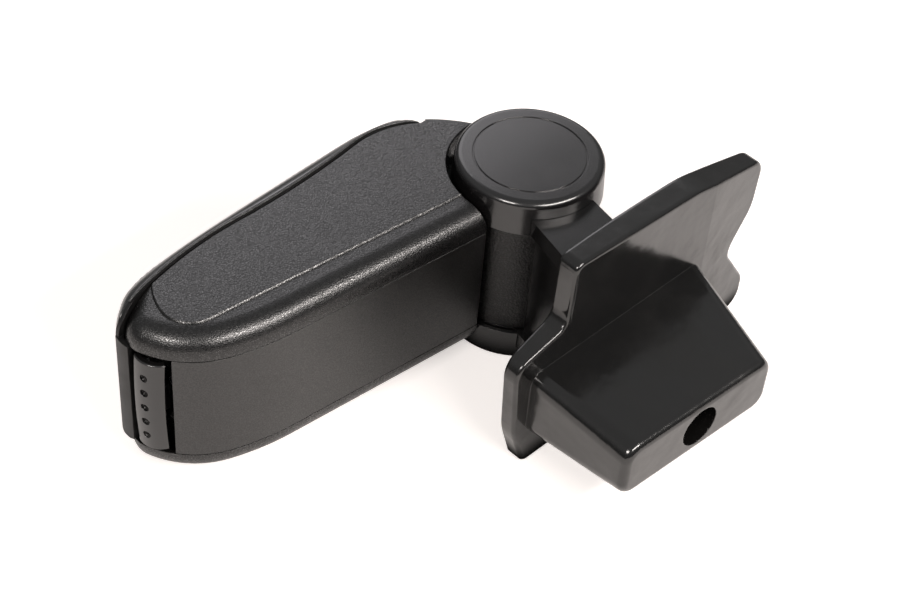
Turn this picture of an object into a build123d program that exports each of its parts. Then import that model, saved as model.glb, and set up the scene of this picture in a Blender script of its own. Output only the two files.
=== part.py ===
"""Car centre armrest that plugs into the console: a padded storage arm on a hub, fork and adapter.

Frame: +X forward along the arm, +Y to the left, +Z up. The origin lies on the console seat, under the
flange, in the arm's mid-plane and at the fixing bolt's fore-and-aft station. Millimetres.
"""
import os
from math import cos, degrees, radians, sin, sqrt, tan

from build123d import *

# Hub: pivot axis, the two drum caps and the knuckle between them
pivot_x = -23.2
pivot_z = 76.8
cap_radius = 37.5
cap_draft = 1.0
cap_skirt_y = 33.3
cap_face_y = 52.2
cap_wall = 2.2
cap_rim_round = 3.6
cap_ring_radius = 27.6
cap_ring_width = 0.8
cap_ring_depth = 0.5
cap_seat_setback = 7.5
cap_seat_radius = cap_radius - cap_seat_setback
cap_seat_width = 2.5
knuckle_setback = 3.5
knuckle_radius = cap_radius - knuckle_setback
knuckle_gap = 0.9
pivot_radius = 6.0
bush_wall = 2.0
bush_length = 26.0
thrust_washer = 0.8
thrust_radius = 15.0
pivot_washer = 1.3
pivot_washer_radius = 12.0
pivot_head_height = 4.0
pivot_head_flats = 18.0
run_clearance = 0.05
seat_clearance = 0.02
notch_clearance = 0.2

# Fork that stands on the adapter and carries the hub
fork_cheek_setback = 4.0
fork_cheek_radius = cap_radius - fork_cheek_setback
fork_lug_y = 43.0
fork_front_top = (25.9, -27.5)
fork_front_angle = 14.6
fork_rear_top = (-6.7, -cap_radius)
fork_rear_angle = 11.0
fork_web_setback = 4.0
fork_web_clearance = 0.6
foot_front = 40.0
foot_rear = -9.0
foot_height = 6.0
foot_corner = 6.0

# Console adapter: arched flange and drafted plug with the bolt's access bore
flange_right = -52.5
flange_rear = -117.0
flange_front = 61.0
flange_left = 64.0
flange_fin_tip = (27.5, flange_left)
flange_fin_root = (28.5, 27.0)
flange_lobe_top = (flange_front, 19.0)
flange_lobe_side = (58.0, -26.5)
flange_lobe_toe = (49.0, flange_right)
flange_heel = (flange_rear, flange_right)
flange_heel_top = (flange_rear, -34.5)
flange_notch = (-95.0, -4.0)
flange_tail_low = (-111.0, 18.0)
flange_tail_top = (-113.0, 48.0)
flange_shoulder = (-58.0, 60.0)
flange_lobe_round = 11.0
flange_lobe_bend = 40.0
flange_corner = 5.0
flange_root_round = 8.0
flange_tail_round = 10.0
flange_tail_bend = 20.0
flange_shoulder_bend = 70.0
flange_crown = 14.0
flange_edge = 8.5
flange_tail = 9.5
flange_crown_x = -28.0
flange_crease_x = -72.0
flange_tail_angle = 4.0
flange_round = 2.0
flange_top_round = 1.6
foot_pocket_z = 10.5
pocket_clearance = 0.3
plug_front = 49.9
plug_rear = -69.9
plug_left = 8.5
plug_right = -31.0
plug_depth = 62.5
plug_end_front = 49.6
plug_end_rear = -47.5
plug_end_left = 5.5
plug_end_right = -26.0
plug_end_tilt = 2.9
plug_corner = 7.0
plug_end_corner = 9.0
plug_end_round = 4.0
bolt_y = -9.7
access_radius = 11.0
access_floor = 20.0
head_seat_radius = 9.0
head_seat_floor = 8.0

# Fixing bolt through the adapter into the fork's captive nut
bolt_radius = 4.0
bolt_hole_clearance = 0.3
bolt_head_radius = 6.5
bolt_head_height = 8.0
bolt_socket_flats = 6.0
bolt_socket_depth = 4.5
bolt_washer = 1.6
bolt_washer_radius = 8.0
nut_flats = 13.0
nut_height = 6.5
bolt_tip_past_nut = 4.0

# Arm profile, seen from the right, measured from the pivot axis
underside_z = -14.0
arm_cut_gap = 2.5
arm_cut_radius = cap_radius + arm_cut_gap
arm_cut_angle = 34.0
arm_length = 210.6
nose_start = (60.0, -0.416)
underside_rise = (nose_start[1] - underside_z) / (arm_length - nose_start[0])
nose_belly = (28.5, 6.5)
nose_chin = (7.4, 21.6)
nose_tip_z = 34.9
nose_brow = (3.1, 47.9)
seam_front = (25.6, 54.8)
seam_middle = (131.0, 60.8)
seam_crest = (53.6, 65.9)
seam_rear = (17.6, 57.4)
seam_gap = 0.5

# Arm mouldings: side shells, underside cover and rear top cover
shell_y = 44.0
shell_depth = 12.8
shell_split_y = shell_y - shell_depth
shell_gap = 0.5
shell_wall = 2.2
shell_round = 11.0
panel_rise = 1.0
panel_bevel = 0.6
panel_low_angle = 9.0
panel_low_front = (28.7, 20.0)
panel_nose = (15.2, 37.6)
panel_top_front = (24.0, 55.6)
rear_cover_toe = 1.2
rear_cover_low = (-3.2, arm_cut_radius + rear_cover_toe)
rear_cover_middle = (4.9, 51.8)
rear_cover_high = (12.8, 59.1)
rear_cover_wall = 2.4
rear_cover_round = 1.5
cavity_slope = 1.2
boss_radius = 3.5
boss_z = 4.0
boss_rear_x = 54.0
boss_front_x = 72.0
screw_radius = 1.5
screw_head_radius = 3.0
screw_head_height = 2.0
screw_grip = 8.5
screw_tip_gap = 0.5

# Core: knuckle, neck and tongue that carry the mouldings
neck_gap = 0.4
neck_half_width = shell_split_y - neck_gap
neck_reach = 4.0
neck_radius = arm_cut_radius + neck_reach
neck_low_angle = -6.0
neck_high_angle = 76.0
tongue_setback = 1.7
tongue_half_width = shell_split_y - tongue_setback
tongue_rear = 41.0
tongue_front = 82.0
tongue_wall = 4.0
tongue_channel_rear = 47.0

# Storage tray
tray_rear = 50.0
tray_front = 29.6
tray_floor_z = 15.0
tray_side_gap = 0.6
tray_half_width = shell_y - shell_wall - tray_side_gap
tray_wall = 2.0
tray_front_wall = 3.0
tray_drop = 1.2
tray_corner = 6.0
tray_screw_x = 68.0
tray_screw_y = 15.0
tray_post_x = 48.0
tray_post_y = 14.0
tray_post_width = 5.0
tray_screw_grip = 3.8

# Lid hinge: rolled rear edge of the lid between two ears on posts of the core
hinge_at = (16.6, 60.4)
hinge_pin_radius = 1.0
hinge_ear_radius = 2.0
hinge_ear_inner = 20.4
hinge_ear_width = 5.6
hinge_ear_gap = 0.4
hinge_slot_front = 3.0
hinge_post_foot = 12.0
lid_end_radius = 2.5
lid_end_gap = 0.8

# Lid: rigid base with a front lip, padded cover and catch
lid_overhang = 0.6
lid_half_width = shell_y + lid_overhang
lid_front_corner = 14.0
lid_rear_corner = 8.0
lid_base_wall = 2.0
lid_crest = (50.0, 74.2)
lid_shoulder = (20.0, 70.2)
lid_middle_rise = 9.8
lid_fall = (35.6, 66.4)
lid_front = (19.4, 63.1)
lid_brow = (-0.8, 51.0)
lid_rear = (14.3, 66.0)
lid_lip = (-1.9, 46.5)
lid_lip_end = (-1.7, 41.0)
lid_lip_wall = 2.6
lid_lip_half_width = 30.6
cushion_gap = 0.3
cushion_round = 7.0
catch_half_width = 8.0
catch_wall = 2.5
catch_front = 7.3
catch_foot = 11.8
catch_foot_z = 48.0
catch_screw_head = 1.6
catch_screw_x = 15.6
catch_screw_top = 53.7
catch_low_z = 29.0
catch_nose = 1.5
catch_nose_height = 3.5
catch_screw_y = 5.0

# Latch button, its bracket and return spring
button_half_width = 28.0
button_low = (4.6, 23.4)
button_mid = (-2.0, 30.7)
button_high = (-1.7, 38.2)
button_wall = 3.0
button_bow = 1.0
button_travel = 3.5
button_edge_round = 0.8
button_arm_y = 12.0
button_arm_width = 3.0
button_arm_low = 29.0
button_arm_high = 36.5
button_stop_gap = 1.0
button_bar_low = 33.0
button_bar_depth = 3.0
button_catch_gap = 0.3
dimple_count = 5
dimple_pitch = 9.33
dimple_radius = 2.1
dimple_depth = 1.0
bracket_gap = 0.4
bracket_wall = 2.5
bracket_deck_z = 43.0
bracket_front = 13.1
bracket_rail = 2.4
bracket_screw_y = 11.0
bracket_screw_z = 24.0
spring_radius = 3.0
spring_wire = 0.7
spring_turns = 5
spring_end_gap = 0.1

os.makedirs("parts", exist_ok=True)


def side(y=0.0):
    """Plane across the arm at y, centred on the pivot, with local x forward and local y up."""
    return Plane(origin=(pivot_x, y, pivot_z), x_dir=(1, 0, 0), z_dir=(0, -1, 0))


def turned():
    """Plane through the pivot axis for turned pieces, with local x radial and local y along the axis."""
    return Plane(origin=(pivot_x, 0, pivot_z), x_dir=(1, 0, 0), z_dir=(0, 0, 1))


def from_tip(point):
    """Arm point whose fore-and-aft place is given back from the nose tip."""
    return (arm_length - point[0], point[1])


def raised(point, lift):
    """Point moved up by lift."""
    return (point[0], point[1] + lift)


def polar(radius, angle):
    """Point on a circle about the pivot."""
    return (radius * cos(radians(angle)), radius * sin(radians(angle)))


def underside(x, inset=0.0):
    """Point on the straight underside, or inset above it."""
    return (x, underside_z + underside_rise * x + inset * sqrt(1 + underside_rise**2))


def underside_cut(radius, inset=0.0):
    """Where the underside, or a line inset above it, meets a circle about the pivot."""
    level = underside(0, inset)[1]
    a = 1 + underside_rise**2
    b = level * underside_rise
    c = level**2 - radius**2
    return underside((-b + sqrt(b * b - a * c)) / a, inset)


def export(piece, name):
    """Label a finished piece and write it."""
    piece.part.label = name
    export_step(piece.part, f"parts/{name}.step")


pivot_axis = Axis((pivot_x, 0, pivot_z), (0, 1, 0))
knuckle_half = cap_skirt_y - knuckle_gap
tray_front_x = arm_length - tray_front
foot_z = foot_pocket_z - pivot_z


def inside(edge, at, inset):
    """End of an edge moved to the left of its direction by inset."""
    end = edge @ at
    along = edge % at
    return (end.X - along.Y * inset, end.Y + along.X * inset)


def lower_edges(inset=0.0, spans=5):
    """Underside and nose of the arm, or a line inset from them, from the hub round towards the brow.

    The five spans end at the nose's start, belly, chin, tip and brow. The end point is returned.
    """
    start = from_tip(nose_start)
    outline = [Line(underside_cut(arm_cut_radius), start, mode=Mode.PRIVATE)]
    for point in (from_tip(nose_belly), from_tip(nose_chin), (arm_length, nose_tip_z), from_tip(nose_brow)):
        last = outline[-1]
        outline.append(TangentArc(last @ 1, point, tangent=last % 1, mode=Mode.PRIVATE))
    Line(underside_cut(arm_cut_radius + inset, inset), inside(outline[0], 1, inset))
    for arc in outline[1:spans]:
        TangentArc(inside(arc, 0, inset), inside(arc, 1, inset), tangent=arc % 0)
    return inside(outline[spans - 1], 1, inset)


def seam_edges(lift=0.0):
    """Lid seam from the brow back to the hinge, lifted as a whole."""
    middle = raised(seam_middle, lift)
    crest = raised(seam_crest, lift)
    front = ThreePointArc(raised(from_tip(nose_brow), lift), raised(from_tip(seam_front), lift), middle)
    back = TangentArc(middle, crest, tangent=front % 1)
    TangentArc(crest, raised(seam_rear, lift), tangent=back % 1)


# The rear top cover's inner face lies along this line; the shells are rebated under it
rear_run = (rear_cover_high[0] - rear_cover_low[0], rear_cover_high[1] - rear_cover_low[1])
rear_length = sqrt(rear_run[0] ** 2 + rear_run[1] ** 2)
rear_inward = (rear_run[1] / rear_length * rear_cover_wall, -rear_run[0] / rear_length * rear_cover_wall)
rebate_high = (rear_cover_high[0] + rear_inward[0], rear_cover_high[1] + rear_inward[1])


def rebate_cut(radius):
    """Where the rebate under the rear cover meets a circle about the pivot."""
    along = (rear_run[0] / rear_length, rear_run[1] / rear_length)
    b = rebate_high[0] * along[0] + rebate_high[1] * along[1]
    c = rebate_high[0] ** 2 + rebate_high[1] ** 2 - radius**2
    step = b - sqrt(b * b - c)
    return (rebate_high[0] - along[0] * step, rebate_high[1] - along[1] * step)


def arm_face():
    """Side profile of the arm below the lid, with the round cut about the hub."""
    with BuildSketch() as face:
        with BuildLine():
            lower_edges()
            seam_edges()
            Polyline(seam_rear, rebate_high, rebate_cut(arm_cut_radius))
            ThreePointArc(
                rebate_cut(arm_cut_radius),
                polar(arm_cut_radius, arm_cut_angle),
                underside_cut(arm_cut_radius),
            )
        make_face()
    return face.sketch


# Console adapter: arched flange cut to its plan, plug, foot pocket and stepped bolt bore
with BuildPart() as console_adapter:
    with BuildSketch():
        with BuildLine():
            FilletPolyline(
                flange_fin_tip,
                flange_fin_root,
                flange_lobe_top,
                flange_lobe_side,
                flange_lobe_toe,
                flange_heel,
                flange_heel_top,
                flange_notch,
                flange_tail_low,
                flange_tail_top,
                flange_shoulder,
                radius=[
                    flange_corner,
                    flange_root_round,
                    flange_lobe_round,
                    flange_lobe_bend,
                    flange_corner,
                    flange_tail_round,
                    flange_tail_round,
                    flange_tail_round,
                    flange_tail_bend,
                    flange_tail_round,
                    flange_shoulder_bend,
                ],
                close=True,
            )
        make_face()
    extrude(amount=flange_crown * 2, both=True)
    with BuildSketch(Plane.XZ) as flange_side:
        with BuildLine():
            tail_drop = (flange_crease_x - flange_rear) * tan(radians(flange_tail_angle))
            nose_end = flange_front + flange_round
            tail_end = flange_rear - flange_round
            Polyline((nose_end, flange_edge), (nose_end, 0), (flange_crease_x, 0), (tail_end, tail_drop))
            Line((tail_end, tail_drop), (tail_end, tail_drop + flange_tail))
            ThreePointArc(
                (tail_end, tail_drop + flange_tail), (flange_crown_x, flange_crown), (nose_end, flange_edge)
            )
        make_face()
    extrude(amount=flange_left * 2, both=True, mode=Mode.INTERSECT)
    rim = console_adapter.faces().sort_by(Axis.Z)[0].outer_wire().edges()
    fillet(rim, flange_round)
    crown = console_adapter.faces().filter_by(GeomType.CYLINDER).sort_by(SortBy.AREA)[-1]
    fillet(crown.outer_wire().edges(), flange_top_round)
    with BuildSketch(Plane.XY.offset(flange_round / 2)):
        with Locations(((plug_front + plug_rear) / 2, (plug_left + plug_right) / 2)):
            RectangleRounded(plug_front - plug_rear, plug_left - plug_right, plug_corner)
    plug_end = Plane(
        origin=((plug_end_front + plug_end_rear) / 2, (plug_end_left + plug_end_right) / 2, -plug_depth),
        x_dir=(cos(radians(plug_end_tilt)), 0, sin(radians(plug_end_tilt))),
        z_dir=(-sin(radians(plug_end_tilt)), 0, cos(radians(plug_end_tilt))),
    )
    with BuildSketch(plug_end):
        RectangleRounded(plug_end_front - plug_end_rear, plug_end_left - plug_end_right, plug_end_corner)
    loft(ruled=True)
    fillet(console_adapter.faces().sort_by(Axis.Z)[0].edges(), plug_end_round)
    with BuildSketch(Plane.XY.offset(foot_pocket_z)):
        with Locations((pivot_x + (foot_front + foot_rear) / 2, 0)):
            RectangleRounded(
                foot_front - foot_rear + 2 * pocket_clearance,
                2 * (fork_lug_y + pocket_clearance),
                foot_corner,
            )
    extrude(amount=flange_crown, mode=Mode.SUBTRACT)
    with BuildSketch(Plane.XY.offset(-plug_depth * 2)):
        with Locations((0, bolt_y)):
            Circle(access_radius)
    extrude(amount=plug_depth * 2 - access_floor, mode=Mode.SUBTRACT)
    with BuildSketch(Plane.XY.offset(-access_floor)):
        with Locations((0, bolt_y)):
            Circle(head_seat_radius)
    extrude(amount=access_floor - head_seat_floor, mode=Mode.SUBTRACT)
    with BuildSketch(Plane.XY.offset(-head_seat_floor)):
        with Locations((0, bolt_y)):
            Circle(bolt_radius + bolt_hole_clearance)
    extrude(amount=head_seat_floor + foot_pocket_z, mode=Mode.SUBTRACT)
export(console_adapter, "console_adapter")


def lean(point, angle, z):
    """Point straight down a leaning edge to height z."""
    return (point[0] + (point[1] - z) * tan(radians(angle)), z)


def lug_face():
    """Side profile of a fork lug, from the hub's middle down to the foot."""
    with BuildSketch() as face:
        with BuildLine():
            Polyline(
                lean(fork_rear_top, fork_rear_angle, 0),
                lean(fork_front_top, fork_front_angle, 0),
                lean(fork_front_top, fork_front_angle, foot_z),
                lean(fork_rear_top, fork_rear_angle, foot_z),
                close=True,
            )
        make_face()
    return face.sketch


# Fork: web under the knuckle, two cheeks with lugs and a foot in the adapter's pocket
with BuildPart() as fork_bracket:
    with BuildSketch(side()):
        with BuildLine():
            web_front = (fork_front_top[0] - fork_web_setback, fork_front_top[1])
            Polyline(
                lean(fork_rear_top, fork_rear_angle, -knuckle_radius / 2),
                lean(web_front, fork_front_angle, -knuckle_radius / 2),
                lean(web_front, fork_front_angle, foot_z),
                lean(fork_rear_top, fork_rear_angle, foot_z),
                close=True,
            )
        make_face()
        Circle(knuckle_radius + fork_web_clearance, mode=Mode.SUBTRACT)
    extrude(amount=cap_skirt_y, both=True)
    with BuildSketch(Plane.XY.offset(foot_pocket_z)):
        with Locations((pivot_x + (foot_front + foot_rear) / 2, 0)):
            RectangleRounded(foot_front - foot_rear, 2 * fork_lug_y, foot_corner)
    extrude(amount=foot_height)
    for start in (fork_lug_y, -cap_skirt_y):
        with BuildSketch(side(start)):
            add(lug_face())
            Circle(fork_cheek_radius)
        extrude(amount=fork_lug_y - cap_skirt_y)
    with BuildSketch(side()):
        Circle(pivot_radius + run_clearance)
    extrude(amount=fork_lug_y, both=True, mode=Mode.SUBTRACT)
    with BuildSketch(Plane.XY.offset(foot_pocket_z)):
        with Locations((0, bolt_y)):
            RegularPolygon(nut_flats / 2 + seat_clearance, 6, major_radius=False)
    extrude(amount=nut_height + seat_clearance, mode=Mode.SUBTRACT)
    with BuildSketch(Plane.XY.offset(foot_pocket_z)):
        with Locations((0, bolt_y)):
            Circle(bolt_radius + bolt_hole_clearance)
    extrude(amount=nut_height + 2 * bolt_tip_past_nut, mode=Mode.SUBTRACT)
export(fork_bracket, "fork_bracket")

# Hub caps: drum covers with a fine ring on the face, notched where the lugs pass
with BuildPart() as hub_cap_left:
    with BuildSketch(turned()):
        with BuildLine():
            rim_radius = cap_radius - cap_draft
            Polyline((0, cap_face_y), (rim_radius, cap_face_y), (cap_radius, cap_skirt_y))
            Polyline((cap_radius, cap_skirt_y), (cap_radius - cap_wall, cap_skirt_y))
            Polyline(
                (cap_radius - cap_wall, cap_skirt_y),
                (rim_radius - cap_wall, cap_face_y - cap_wall),
                (0, cap_face_y - cap_wall),
                (0, cap_face_y),
            )
        make_face()
        with Locations((cap_ring_radius, cap_face_y)):
            Rectangle(cap_ring_width, 2 * cap_ring_depth, mode=Mode.SUBTRACT)
        with Locations((cap_seat_radius, (fork_lug_y + cap_face_y - cap_wall) / 2)):
            Rectangle(cap_seat_width, cap_face_y - cap_wall - fork_lug_y)
    revolve(axis=pivot_axis)
    outer_rim = hub_cap_left.edges().filter_by(GeomType.CIRCLE).sort_by(Axis.Y).group_by(Axis.Y)[-1]
    fillet(outer_rim.sort_by(SortBy.RADIUS)[-1], cap_rim_round)
    with BuildSketch(side(fork_lug_y + notch_clearance)):
        add(lug_face())
        offset(amount=notch_clearance)
    extrude(amount=fork_lug_y - cap_skirt_y + 2 * notch_clearance, mode=Mode.SUBTRACT)
export(hub_cap_left, "hub_cap_left")

with BuildPart() as hub_cap_right:
    add(hub_cap_left.part)
    mirror(about=Plane.XZ, mode=Mode.REPLACE)
export(hub_cap_right, "hub_cap_right")

# Pivot bolt across the fork, with its nut and two washers
head_y = fork_lug_y + pivot_washer
with BuildPart() as pivot_bolt:
    with BuildSketch(side(head_y + pivot_head_height)):
        Circle(pivot_radius)
    extrude(amount=2 * head_y + pivot_head_height)
    with BuildSketch(side(-head_y)):
        RegularPolygon(pivot_head_flats / 2, 6, major_radius=False)
    extrude(amount=pivot_head_height)
export(pivot_bolt, "pivot_bolt")

with BuildPart() as pivot_nut:
    with BuildSketch(side(head_y + pivot_head_height)):
        RegularPolygon(pivot_head_flats / 2, 6, major_radius=False)
        Circle(pivot_radius + seat_clearance, mode=Mode.SUBTRACT)
    extrude(amount=pivot_head_height)
export(pivot_nut, "pivot_nut")

with BuildPart() as pivot_washers:
    for start in (head_y, -fork_lug_y):
        with BuildSketch(side(start)):
            Circle(pivot_washer_radius)
            Circle(pivot_radius + run_clearance, mode=Mode.SUBTRACT)
        extrude(amount=pivot_washer)
export(pivot_washers, "pivot_washers")

# Thrust washers between the knuckle and the fork's cheeks
with BuildPart() as thrust_washers:
    washer_slack = (knuckle_gap - thrust_washer) / 2
    for start in (cap_skirt_y - washer_slack, -knuckle_half - washer_slack):
        with BuildSketch(side(start)):
            Circle(thrust_radius)
            Circle(pivot_radius + run_clearance, mode=Mode.SUBTRACT)
        extrude(amount=thrust_washer)
export(thrust_washers, "thrust_washers")

# Fixing bolt, washer and captive nut
washer_z = -head_seat_floor - bolt_washer
with BuildPart() as adapter_bolt:
    with BuildSketch(Plane.XY.offset(washer_z - bolt_head_height)):
        with Locations((0, bolt_y)):
            Circle(bolt_head_radius)
            RegularPolygon(bolt_socket_flats / 2, 6, major_radius=False, mode=Mode.SUBTRACT)
    extrude(amount=bolt_socket_depth)
    with BuildSketch(Plane.XY.offset(washer_z - bolt_head_height + bolt_socket_depth)):
        with Locations((0, bolt_y)):
            Circle(bolt_head_radius)
    extrude(amount=bolt_head_height - bolt_socket_depth)
    with BuildSketch(Plane.XY.offset(washer_z)):
        with Locations((0, bolt_y)):
            Circle(bolt_radius)
    extrude(amount=foot_pocket_z + nut_height + bolt_tip_past_nut - washer_z)
export(adapter_bolt, "adapter_bolt")

with BuildPart() as adapter_washer:
    with BuildSketch(Plane.XY.offset(washer_z)):
        with Locations((0, bolt_y)):
            Circle(bolt_washer_radius)
            Circle(bolt_radius + bolt_hole_clearance, mode=Mode.SUBTRACT)
    extrude(amount=bolt_washer)
export(adapter_washer, "adapter_washer")

with BuildPart() as adapter_nut:
    with BuildSketch(Plane.XY.offset(foot_pocket_z)):
        with Locations((0, bolt_y)):
            RegularPolygon(nut_flats / 2, 6, major_radius=False)
            Circle(bolt_radius + seat_clearance, mode=Mode.SUBTRACT)
    extrude(amount=nut_height)
export(adapter_nut, "adapter_nut")

# Arm core: knuckle, neck, tongue for the shells and the lid's hinge posts
tongue_top = tray_floor_z
bush_radius = pivot_radius + run_clearance + bush_wall
ear_outer = hinge_ear_inner + hinge_ear_width
with BuildPart() as arm_core:
    with BuildSketch(side()):
        Circle(knuckle_radius)
    extrude(amount=knuckle_half, both=True)
    with BuildSketch(side()):
        with BuildLine():
            Line((0, 0), polar(neck_radius, neck_low_angle))
            ThreePointArc(
                polar(neck_radius, neck_low_angle),
                polar(neck_radius, (neck_low_angle + neck_high_angle) / 2),
                polar(neck_radius, neck_high_angle),
            )
            Line(polar(neck_radius, neck_high_angle), (0, 0))
        make_face()
    extrude(amount=neck_half_width, both=True)
    with BuildSketch(side()):
        with BuildLine():
            Polyline(
                underside(tongue_rear, shell_wall),
                underside(tongue_front, shell_wall),
                (tongue_front, tongue_top),
                (knuckle_radius, tongue_top),
                (knuckle_radius, 0),
                close=True,
            )
        make_face()
    extrude(amount=tongue_half_width, both=True)
    with BuildSketch(side()):
        with BuildLine():
            Polyline(
                underside(tongue_channel_rear),
                underside(tongue_front - tongue_wall),
                (tongue_front - tongue_wall, tongue_top - tongue_wall),
                (tongue_channel_rear, tongue_top - tongue_wall),
                close=True,
            )
        make_face()
    extrude(amount=tongue_half_width - tongue_wall, both=True, mode=Mode.SUBTRACT)
    for start in (ear_outer, -hinge_ear_inner):
        with BuildSketch(side(start)):
            with Locations(hinge_at):
                Circle(hinge_ear_radius)
            with BuildLine():
                post_rear = hinge_at[0] - hinge_ear_radius
                post_front = hinge_at[0] + hinge_ear_radius
                Polyline(
                    (post_rear, hinge_at[1]),
                    (post_rear, knuckle_radius),
                    (post_rear + hinge_post_foot, knuckle_radius),
                    (post_front, hinge_at[1] - 2 * hinge_ear_radius),
                    (post_front, hinge_at[1]),
                    close=True,
                )
            make_face()
        extrude(amount=hinge_ear_width)
    with BuildSketch(side()):
        with Locations(hinge_at):
            Circle(hinge_pin_radius + seat_clearance)
    extrude(amount=ear_outer, both=True, mode=Mode.SUBTRACT)
    with BuildSketch(side()):
        Circle(bush_radius + seat_clearance)
    extrude(amount=knuckle_half, both=True, mode=Mode.SUBTRACT)
    with BuildSketch(side()):
        with Locations((boss_rear_x, boss_z), (boss_front_x, boss_z)):
            Circle(screw_radius + run_clearance)
    extrude(amount=tongue_half_width, both=True, mode=Mode.SUBTRACT)
    with BuildSketch(Plane.XY.offset(pivot_z + tongue_top)):
        with Locations((pivot_x + tray_screw_x, tray_screw_y), (pivot_x + tray_screw_x, -tray_screw_y)):
            Circle(screw_radius + seat_clearance)
    extrude(amount=-tongue_wall, mode=Mode.SUBTRACT)
export(arm_core, "arm_core")

with BuildPart() as pivot_bushes:
    for start in (knuckle_half, bush_length - knuckle_half):
        with BuildSketch(side(start)):
            Circle(bush_radius)
            Circle(pivot_radius + run_clearance, mode=Mode.SUBTRACT)
        extrude(amount=bush_length)
export(pivot_bushes, "pivot_bushes")


def hollow_face(inset):
    """Inside of the arm, inset from its underside, nose and hub cut and open at the top."""
    radius = arm_cut_radius + inset
    top = polar(radius, neck_high_angle)
    ceiling = 2 * seam_crest[1]
    with BuildSketch() as face:
        with BuildLine():
            brow = lower_edges(inset)
            run = (ceiling - brow[1]) * cavity_slope
            Polyline(brow, (brow[0] - run, ceiling), (top[0], ceiling), top)
            ThreePointArc(top, polar(radius, arm_cut_angle), underside_cut(radius, inset))
        make_face()
    return face.sketch


def rounded_block(face, y_out, y_in, radius):
    """Side profile extruded inwards from y_out, with its lower and nose edges rounded."""
    with BuildPart() as block:
        with BuildSketch(side(y_out)):
            add(face)
        extrude(amount=y_out - y_in)
        rim = block.faces().sort_by(Axis.Y)[-1].edges()
        low = rim.filter_by(lambda edge: (edge @ 0.5).Z < pivot_z + nose_brow[1] - shell_wall)
        fillet(low.filter_by(lambda edge: (edge @ 0.5).X > pivot_x + arm_cut_radius + boss_radius), radius)
    return block.part


def panel_face():
    """Raised side panel: from the hub cut forward to a round front, up to the lid seam."""
    low = polar(arm_cut_radius, panel_low_angle)
    front = from_tip(panel_low_front)
    nose = from_tip(panel_nose)
    with BuildSketch() as face:
        with BuildLine():
            edge = Line(low, front)
            turn = TangentArc(front, nose, tangent=edge % 1)
            TangentArc(nose, from_tip(panel_top_front), tangent=turn % 1)
            top = 2 * seam_crest[1]
            Polyline(from_tip(panel_top_front), (arm_length - panel_top_front[0], top), (0, top), (0, 0), low)
        make_face()
    return face.sketch


# Side shells: dished mouldings with a rounded lower edge, a raised panel and two screw bosses
with BuildPart() as side_shell_left:
    add(rounded_block(arm_face(), shell_y, shell_split_y, shell_round))
    with BuildSketch(side(shell_y + panel_rise)):
        add(arm_face())
        add(panel_face(), mode=Mode.INTERSECT)
    extrude(amount=panel_rise)
    chamfer(side_shell_left.faces().sort_by(Axis.Y)[-1].outer_wire().edges(), panel_bevel)
    inner = shell_y - shell_wall
    add(rounded_block(hollow_face(shell_wall), inner, 0, shell_round - shell_wall), mode=Mode.SUBTRACT)
    with BuildSketch(side(inner + shell_wall / 2)):
        with Locations((boss_rear_x, boss_z), (boss_front_x, boss_z)):
            Circle(boss_radius)
    extrude(amount=inner + shell_wall / 2 - tongue_half_width)
    with BuildSketch(side(tongue_half_width + screw_grip)):
        with Locations((boss_rear_x, boss_z), (boss_front_x, boss_z)):
            Circle(screw_radius + seat_clearance)
    extrude(amount=screw_grip, mode=Mode.SUBTRACT)
export(side_shell_left, "side_shell_left")

with BuildPart() as side_shell_right:
    add(side_shell_left.part)
    mirror(about=Plane.XZ, mode=Mode.REPLACE)
export(side_shell_right, "side_shell_right")

with BuildPart() as shell_screws:
    head_inner = tongue_half_width - tongue_wall
    for start, grow in ((head_inner, 1), (-head_inner, -1)):
        with BuildSketch(side(start)):
            with Locations((boss_rear_x, boss_z), (boss_front_x, boss_z)):
                Circle(screw_head_radius)
        extrude(amount=grow * screw_head_height)
        with BuildSketch(side(start)):
            with Locations((boss_rear_x, boss_z), (boss_front_x, boss_z)):
                Circle(screw_radius)
        extrude(amount=-grow * (tongue_wall + screw_grip - screw_tip_gap))
export(shell_screws, "shell_screws")

# Underside cover: strip between the shells from the hub to the chin, with posts under the tray
with BuildPart() as underside_cover:
    with BuildSketch(side()):
        with BuildLine():
            outer_end = lower_edges(0, 3)
            inner_end = lower_edges(shell_wall, 3)
            Line(outer_end, inner_end)
            Line(underside_cut(arm_cut_radius), underside_cut(arm_cut_radius + shell_wall, shell_wall))
        make_face()
    extrude(amount=shell_split_y - shell_gap, both=True)
    post_x = arm_length - tray_post_x
    for start in (tray_post_y + tray_post_width / 2, tray_post_width / 2 - tray_post_y):
        with BuildSketch(side(start)):
            with BuildLine():
                Polyline(
                    underside(post_x, shell_wall / 2),
                    (post_x + tray_post_width, underside(post_x, shell_wall)[1]),
                    (post_x + tray_post_width, tray_floor_z),
                    (post_x, tray_floor_z),
                    close=True,
                )
            make_face()
        extrude(amount=tray_post_width)
export(underside_cover, "underside_cover")

# Rear top cover: sloping plate from the lid's end down to the hub, set in the shells' rebates
with BuildPart() as rear_top_cover:
    with BuildSketch(side()):
        with BuildLine():
            inner_low = (rear_cover_low[0] + rear_inward[0], rear_cover_low[1] + rear_inward[1])
            ThreePointArc(rear_cover_low, rear_cover_middle, rear_cover_high)
            Polyline(rear_cover_high, rebate_high, inner_low, rear_cover_low)
        make_face()
        with Locations(hinge_at):
            Circle(lid_end_radius + lid_end_gap, mode=Mode.SUBTRACT)
    extrude(amount=shell_y, both=True)
    crown = rear_top_cover.faces().filter_by(GeomType.CYLINDER).sort_by(SortBy.AREA)[-1]
    fillet(crown.edges().filter_by(GeomType.CIRCLE), rear_cover_round)
export(rear_top_cover, "rear_top_cover")


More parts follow.
